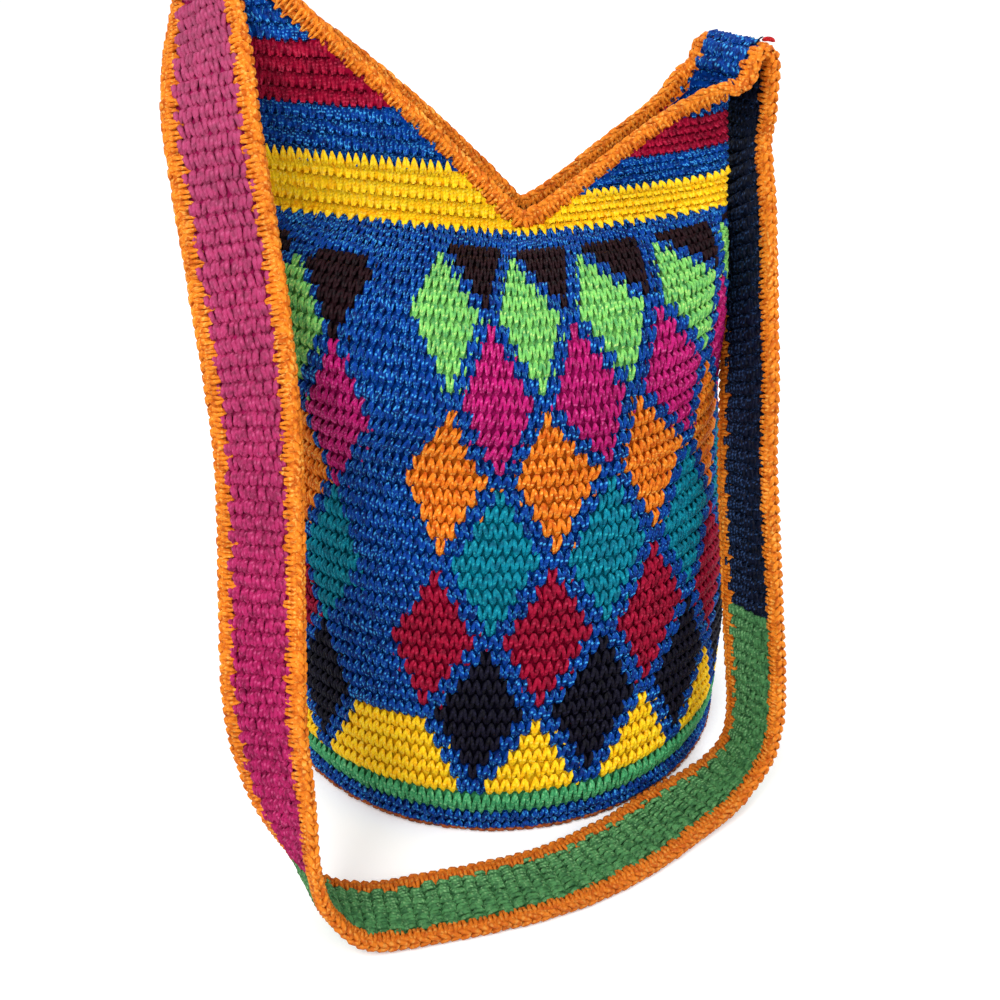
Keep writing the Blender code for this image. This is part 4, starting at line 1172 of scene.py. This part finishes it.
    def _core(self, core: YarnTubes) -> None:
        """Add the thick middle thread and two thinner ones that close the gap to the fabric's edge."""
        fine = np.linspace(0, self.run[-1], 2 * self.count)[:-1]
        line, way = self.sample(self.points, fine), unit(self.sample(self.ways, fine))
        inward, space = self._from_fabric(line, np.cross(self.heading(fine), way))
        sizes = self.sample(self.sizes, fine)[:, 0]
        for depth, thick in ((0.0, sizes * self.width * 0.40), (0.65, np.full(len(line), 1.1 * MM)),
                             (0.9, np.full(len(line), 0.6 * MM))):
            path = line - inward * (space * depth)[:, None]
            path, thick = np.concatenate([path, path[:1]]), np.append(thick, thick[0])
            core.add(path[None], unit(way.mean(axis=0))[None], thick[None])

    def _from_fabric(self, middle: np.ndarray, side: np.ndarray) -> tuple[np.ndarray, np.ndarray]:
        """Turn the side vectors away from the fabric's edge and measure how far off that edge is."""
        band, _, across, _ = self.strap.frames(np.linspace(0, 1, 700))
        edge = [band + across * self.sign * (self.strap.width / 2 - self.width)]
        rim = np.array([self.sign * math.pi / 2])
        for ear in (self.bag.right, self.bag.left):
            edge.append(np.array([ear.points(s, rim, ear.fabric / 2)[0] for s in np.linspace(0, 1, 121)]))
        fabric = np.concatenate(edge)
        away = np.array([point - fabric[((fabric - point) ** 2).sum(axis=1).argmin()] for point in middle])
        kernel = np.ones(5) / 5
        padded = (np.pad(column, 2, mode="wrap") for column in away.T)
        away = np.stack([np.convolve(column, kernel, "valid") for column in padded], axis=1)
        reach = (away * side).sum(axis=1)
        turned = side * np.where(reach < 0, -1.0, 1.0)[:, None]
        return turned, np.clip(np.linalg.norm(away, axis=1), *self.gap_range)

    @staticmethod
    def _softened(points: np.ndarray) -> np.ndarray:
        """Ease the corners of a closed line by a running mean over a few stitches."""
        kernel = np.array([1, 2, 3, 3, 3, 2, 1]) / 15
        reach = len(kernel) // 2
        wrapped = np.concatenate([points[-reach - 1:-1], points, points[1:reach + 1]])
        return np.stack([np.convolve(wrapped[:, axis], kernel, "valid") for axis in range(3)], axis=1)


@dataclass
class YarnTail:
    """The short red end of yarn at the right peak, and a loose dark thread beside it."""

    bag: WorkedBag
    strap: WorkedStrap
    length: float = 6 * MM
    radius: float = 0.8 * MM
    lift: float = 0.3 * MM

    def build(self) -> None:
        """Make the end of yarn and the thread as tapered tubes."""
        tip, outward, forward = self.bag.right.tip()
        up = Vector((0, 0, 1))
        fold = self.strap.fold_radius
        hub = tip + forward * (self.strap.width - 0.6 * self.strap.edging_width) / 2 + (outward + up) * fold
        reach = fold + self.strap.edging_thickness / 2 + self.radius + self.lift
        turns = math.radians(12) + self.length / reach * np.linspace(-0.5, 0.5, 7)
        centres = np.array([hub + (outward * math.sin(t) + up * math.cos(t)) * reach for t in turns])
        tail = YarnTubes("red_yarn_tail", Yarn.RED, 8)
        radii = self.radius * np.array([[0.5, 0.95, 1, 1, 1, 0.9, 0.4]])
        tail.add(centres[None], np.array([[0.0, -1.0, 0.0]]), radii)
        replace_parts(tail.build("end_yarn"), "yarn_end")
        start = hub + up * (fold + 0.5 * MM) - forward * 4 * MM
        steps = ((0, 0, 0), (1.0, 0.3, 0.2), (2.0, 0.1, 0.7), (2.8, 0.6, 1.3), (3.0, 1.3, 1.7))
        line = [start + up * rise * MM + outward * out * MM + forward * near * MM
                for rise, out, near in steps]
        thread = YarnTubes("loose_dark_thread", Yarn.NAVY, 6)
        thread.add(np.array(line)[None], np.array([[0.0, -1.0, 0.0]]),
                   np.array([[0.4, 0.32, 0.3, 0.3, 0.2]]) * MM)
        thread.build("end_yarn")


@dataclass
class Studio:
    """Pale floor, soft lamps and the camera at the photograph's angle."""

    focal_share: float = 1.365
    eye: tuple[float, float, float] = (0.0, -0.470, 0.361)
    scale: float = 90 / 88
    pitch: float = math.radians(29.8)
    roll: float = math.radians(-1.3)
    yaw: float = math.radians(0.3)
    floor_drop: float = 0.4 * MM
    lamps: tuple[tuple[str, tuple[float, float, float], float, float], ...] = (
        ("key_lamp", (-0.5, -0.9, 1.1), 0.7, 11), ("fill_lamp", (0.9, -0.6, 0.7), 0.8, 4),
        ("rear_lamp", (0.1, 0.9, 1.0), 0.8, 4))

    def camera(self) -> None:
        """Place the camera that the photograph was taken with."""
        cy, sy = math.cos(self.yaw), math.sin(self.yaw)
        ahead = Vector((sy * math.cos(self.pitch), cy * math.cos(self.pitch), -math.sin(self.pitch)))
        right = Vector((cy, -sy, 0))
        up = right.cross(ahead)
        rolled = right * math.cos(self.roll) + up * math.sin(self.roll)
        upright = up * math.cos(self.roll) - right * math.sin(self.roll)
        data = bpy.data.cameras.new("camera")
        data.sensor_width, data.lens = 36, 36 * self.focal_share
        data.clip_start = 0.01
        camera = bpy.data.objects.new("camera", data)
        matrix = Matrix((rolled, upright, -ahead)).transposed().to_4x4()
        matrix.translation = Vector(self.eye) * self.scale
        camera.matrix_world = matrix
        bpy.context.scene.collection.objects.link(camera)
        bpy.context.scene.camera = camera

    def floor(self) -> None:
        """Lay a wide pale floor that is white to the camera and keeps the purse's shadow."""
        mesh, reach = bpy.data.meshes.new("floor"), 6.0
        mesh.from_pydata([(-reach, -reach, 0), (reach, -reach, 0), (reach, reach, 0), (-reach, reach, 0)],
                         [], [(0, 1, 2, 3)])
        floor = bpy.data.objects.new("floor", mesh)
        floor.location.z = -self.floor_drop
        bpy.context.scene.collection.objects.link(floor)
        wiring, material, shader = Wiring.material("pale floor")
        seen = wiring.node("LightPath", {}).outputs["Is Camera Ray"]
        wiring.feed(shader, {"Roughness": 0.9, "Base Color": wiring.ranged(seen, results=(0.7, 1.0)),
                             "Emission Color": (1, 1, 1, 1),
                             "Emission Strength": wiring.math("MULTIPLY", seen, 0.15)})
        mesh.materials.append(material)

    def lamp(self, name: str, place: tuple[float, float, float], size: float, power: float) -> None:
        """Hang one square soft lamp that faces the purse."""
        data = bpy.data.lights.new(name, "AREA")
        data.size, data.energy = size, power
        lamp = bpy.data.objects.new(name, data)
        lamp.location = place
        lamp.rotation_mode = "QUATERNION"
        lamp.rotation_quaternion = (Vector((0, 0, 0.12)) - Vector(place)).to_track_quat("-Z", "Y")
        bpy.context.scene.collection.objects.link(lamp)

    def world(self) -> None:
        """Fill the room with soft light; the camera sees it as white."""
        world = bpy.data.worlds.new("soft room")
        bpy.context.scene.world = world
        world.use_nodes = True
        wiring = Wiring(world.node_tree)
        seen = wiring.node("LightPath", {}).outputs["Is Camera Ray"]
        wiring.feed(world.node_tree.nodes["Background"],
                    {"Color": (1, 1, 1, 1), "Strength": wiring.ranged(seen, results=(0.86, 1.0))})

    def build(self) -> None:
        """Set up the whole studio."""
        self.camera()
        self.floor()
        self.world()
        for lamp in self.lamps:
            self.lamp(*lamp)
        bpy.context.scene.view_settings.view_transform = "Standard"


def main() -> None:
    """Build the purse's looks in order."""
    logging.basicConfig(level=logging.INFO, format="%(name)s: %(message)s")
    Studio().build()
    bag = WorkedBag()
    bag.build()
    strap = WorkedStrap(bag)
    strap.build()
    for front in (True, False):
        BraidedEdging(front, bag, strap).build()
    YarnTail(bag, strap).build()


if __name__ == "__main__":
    main()
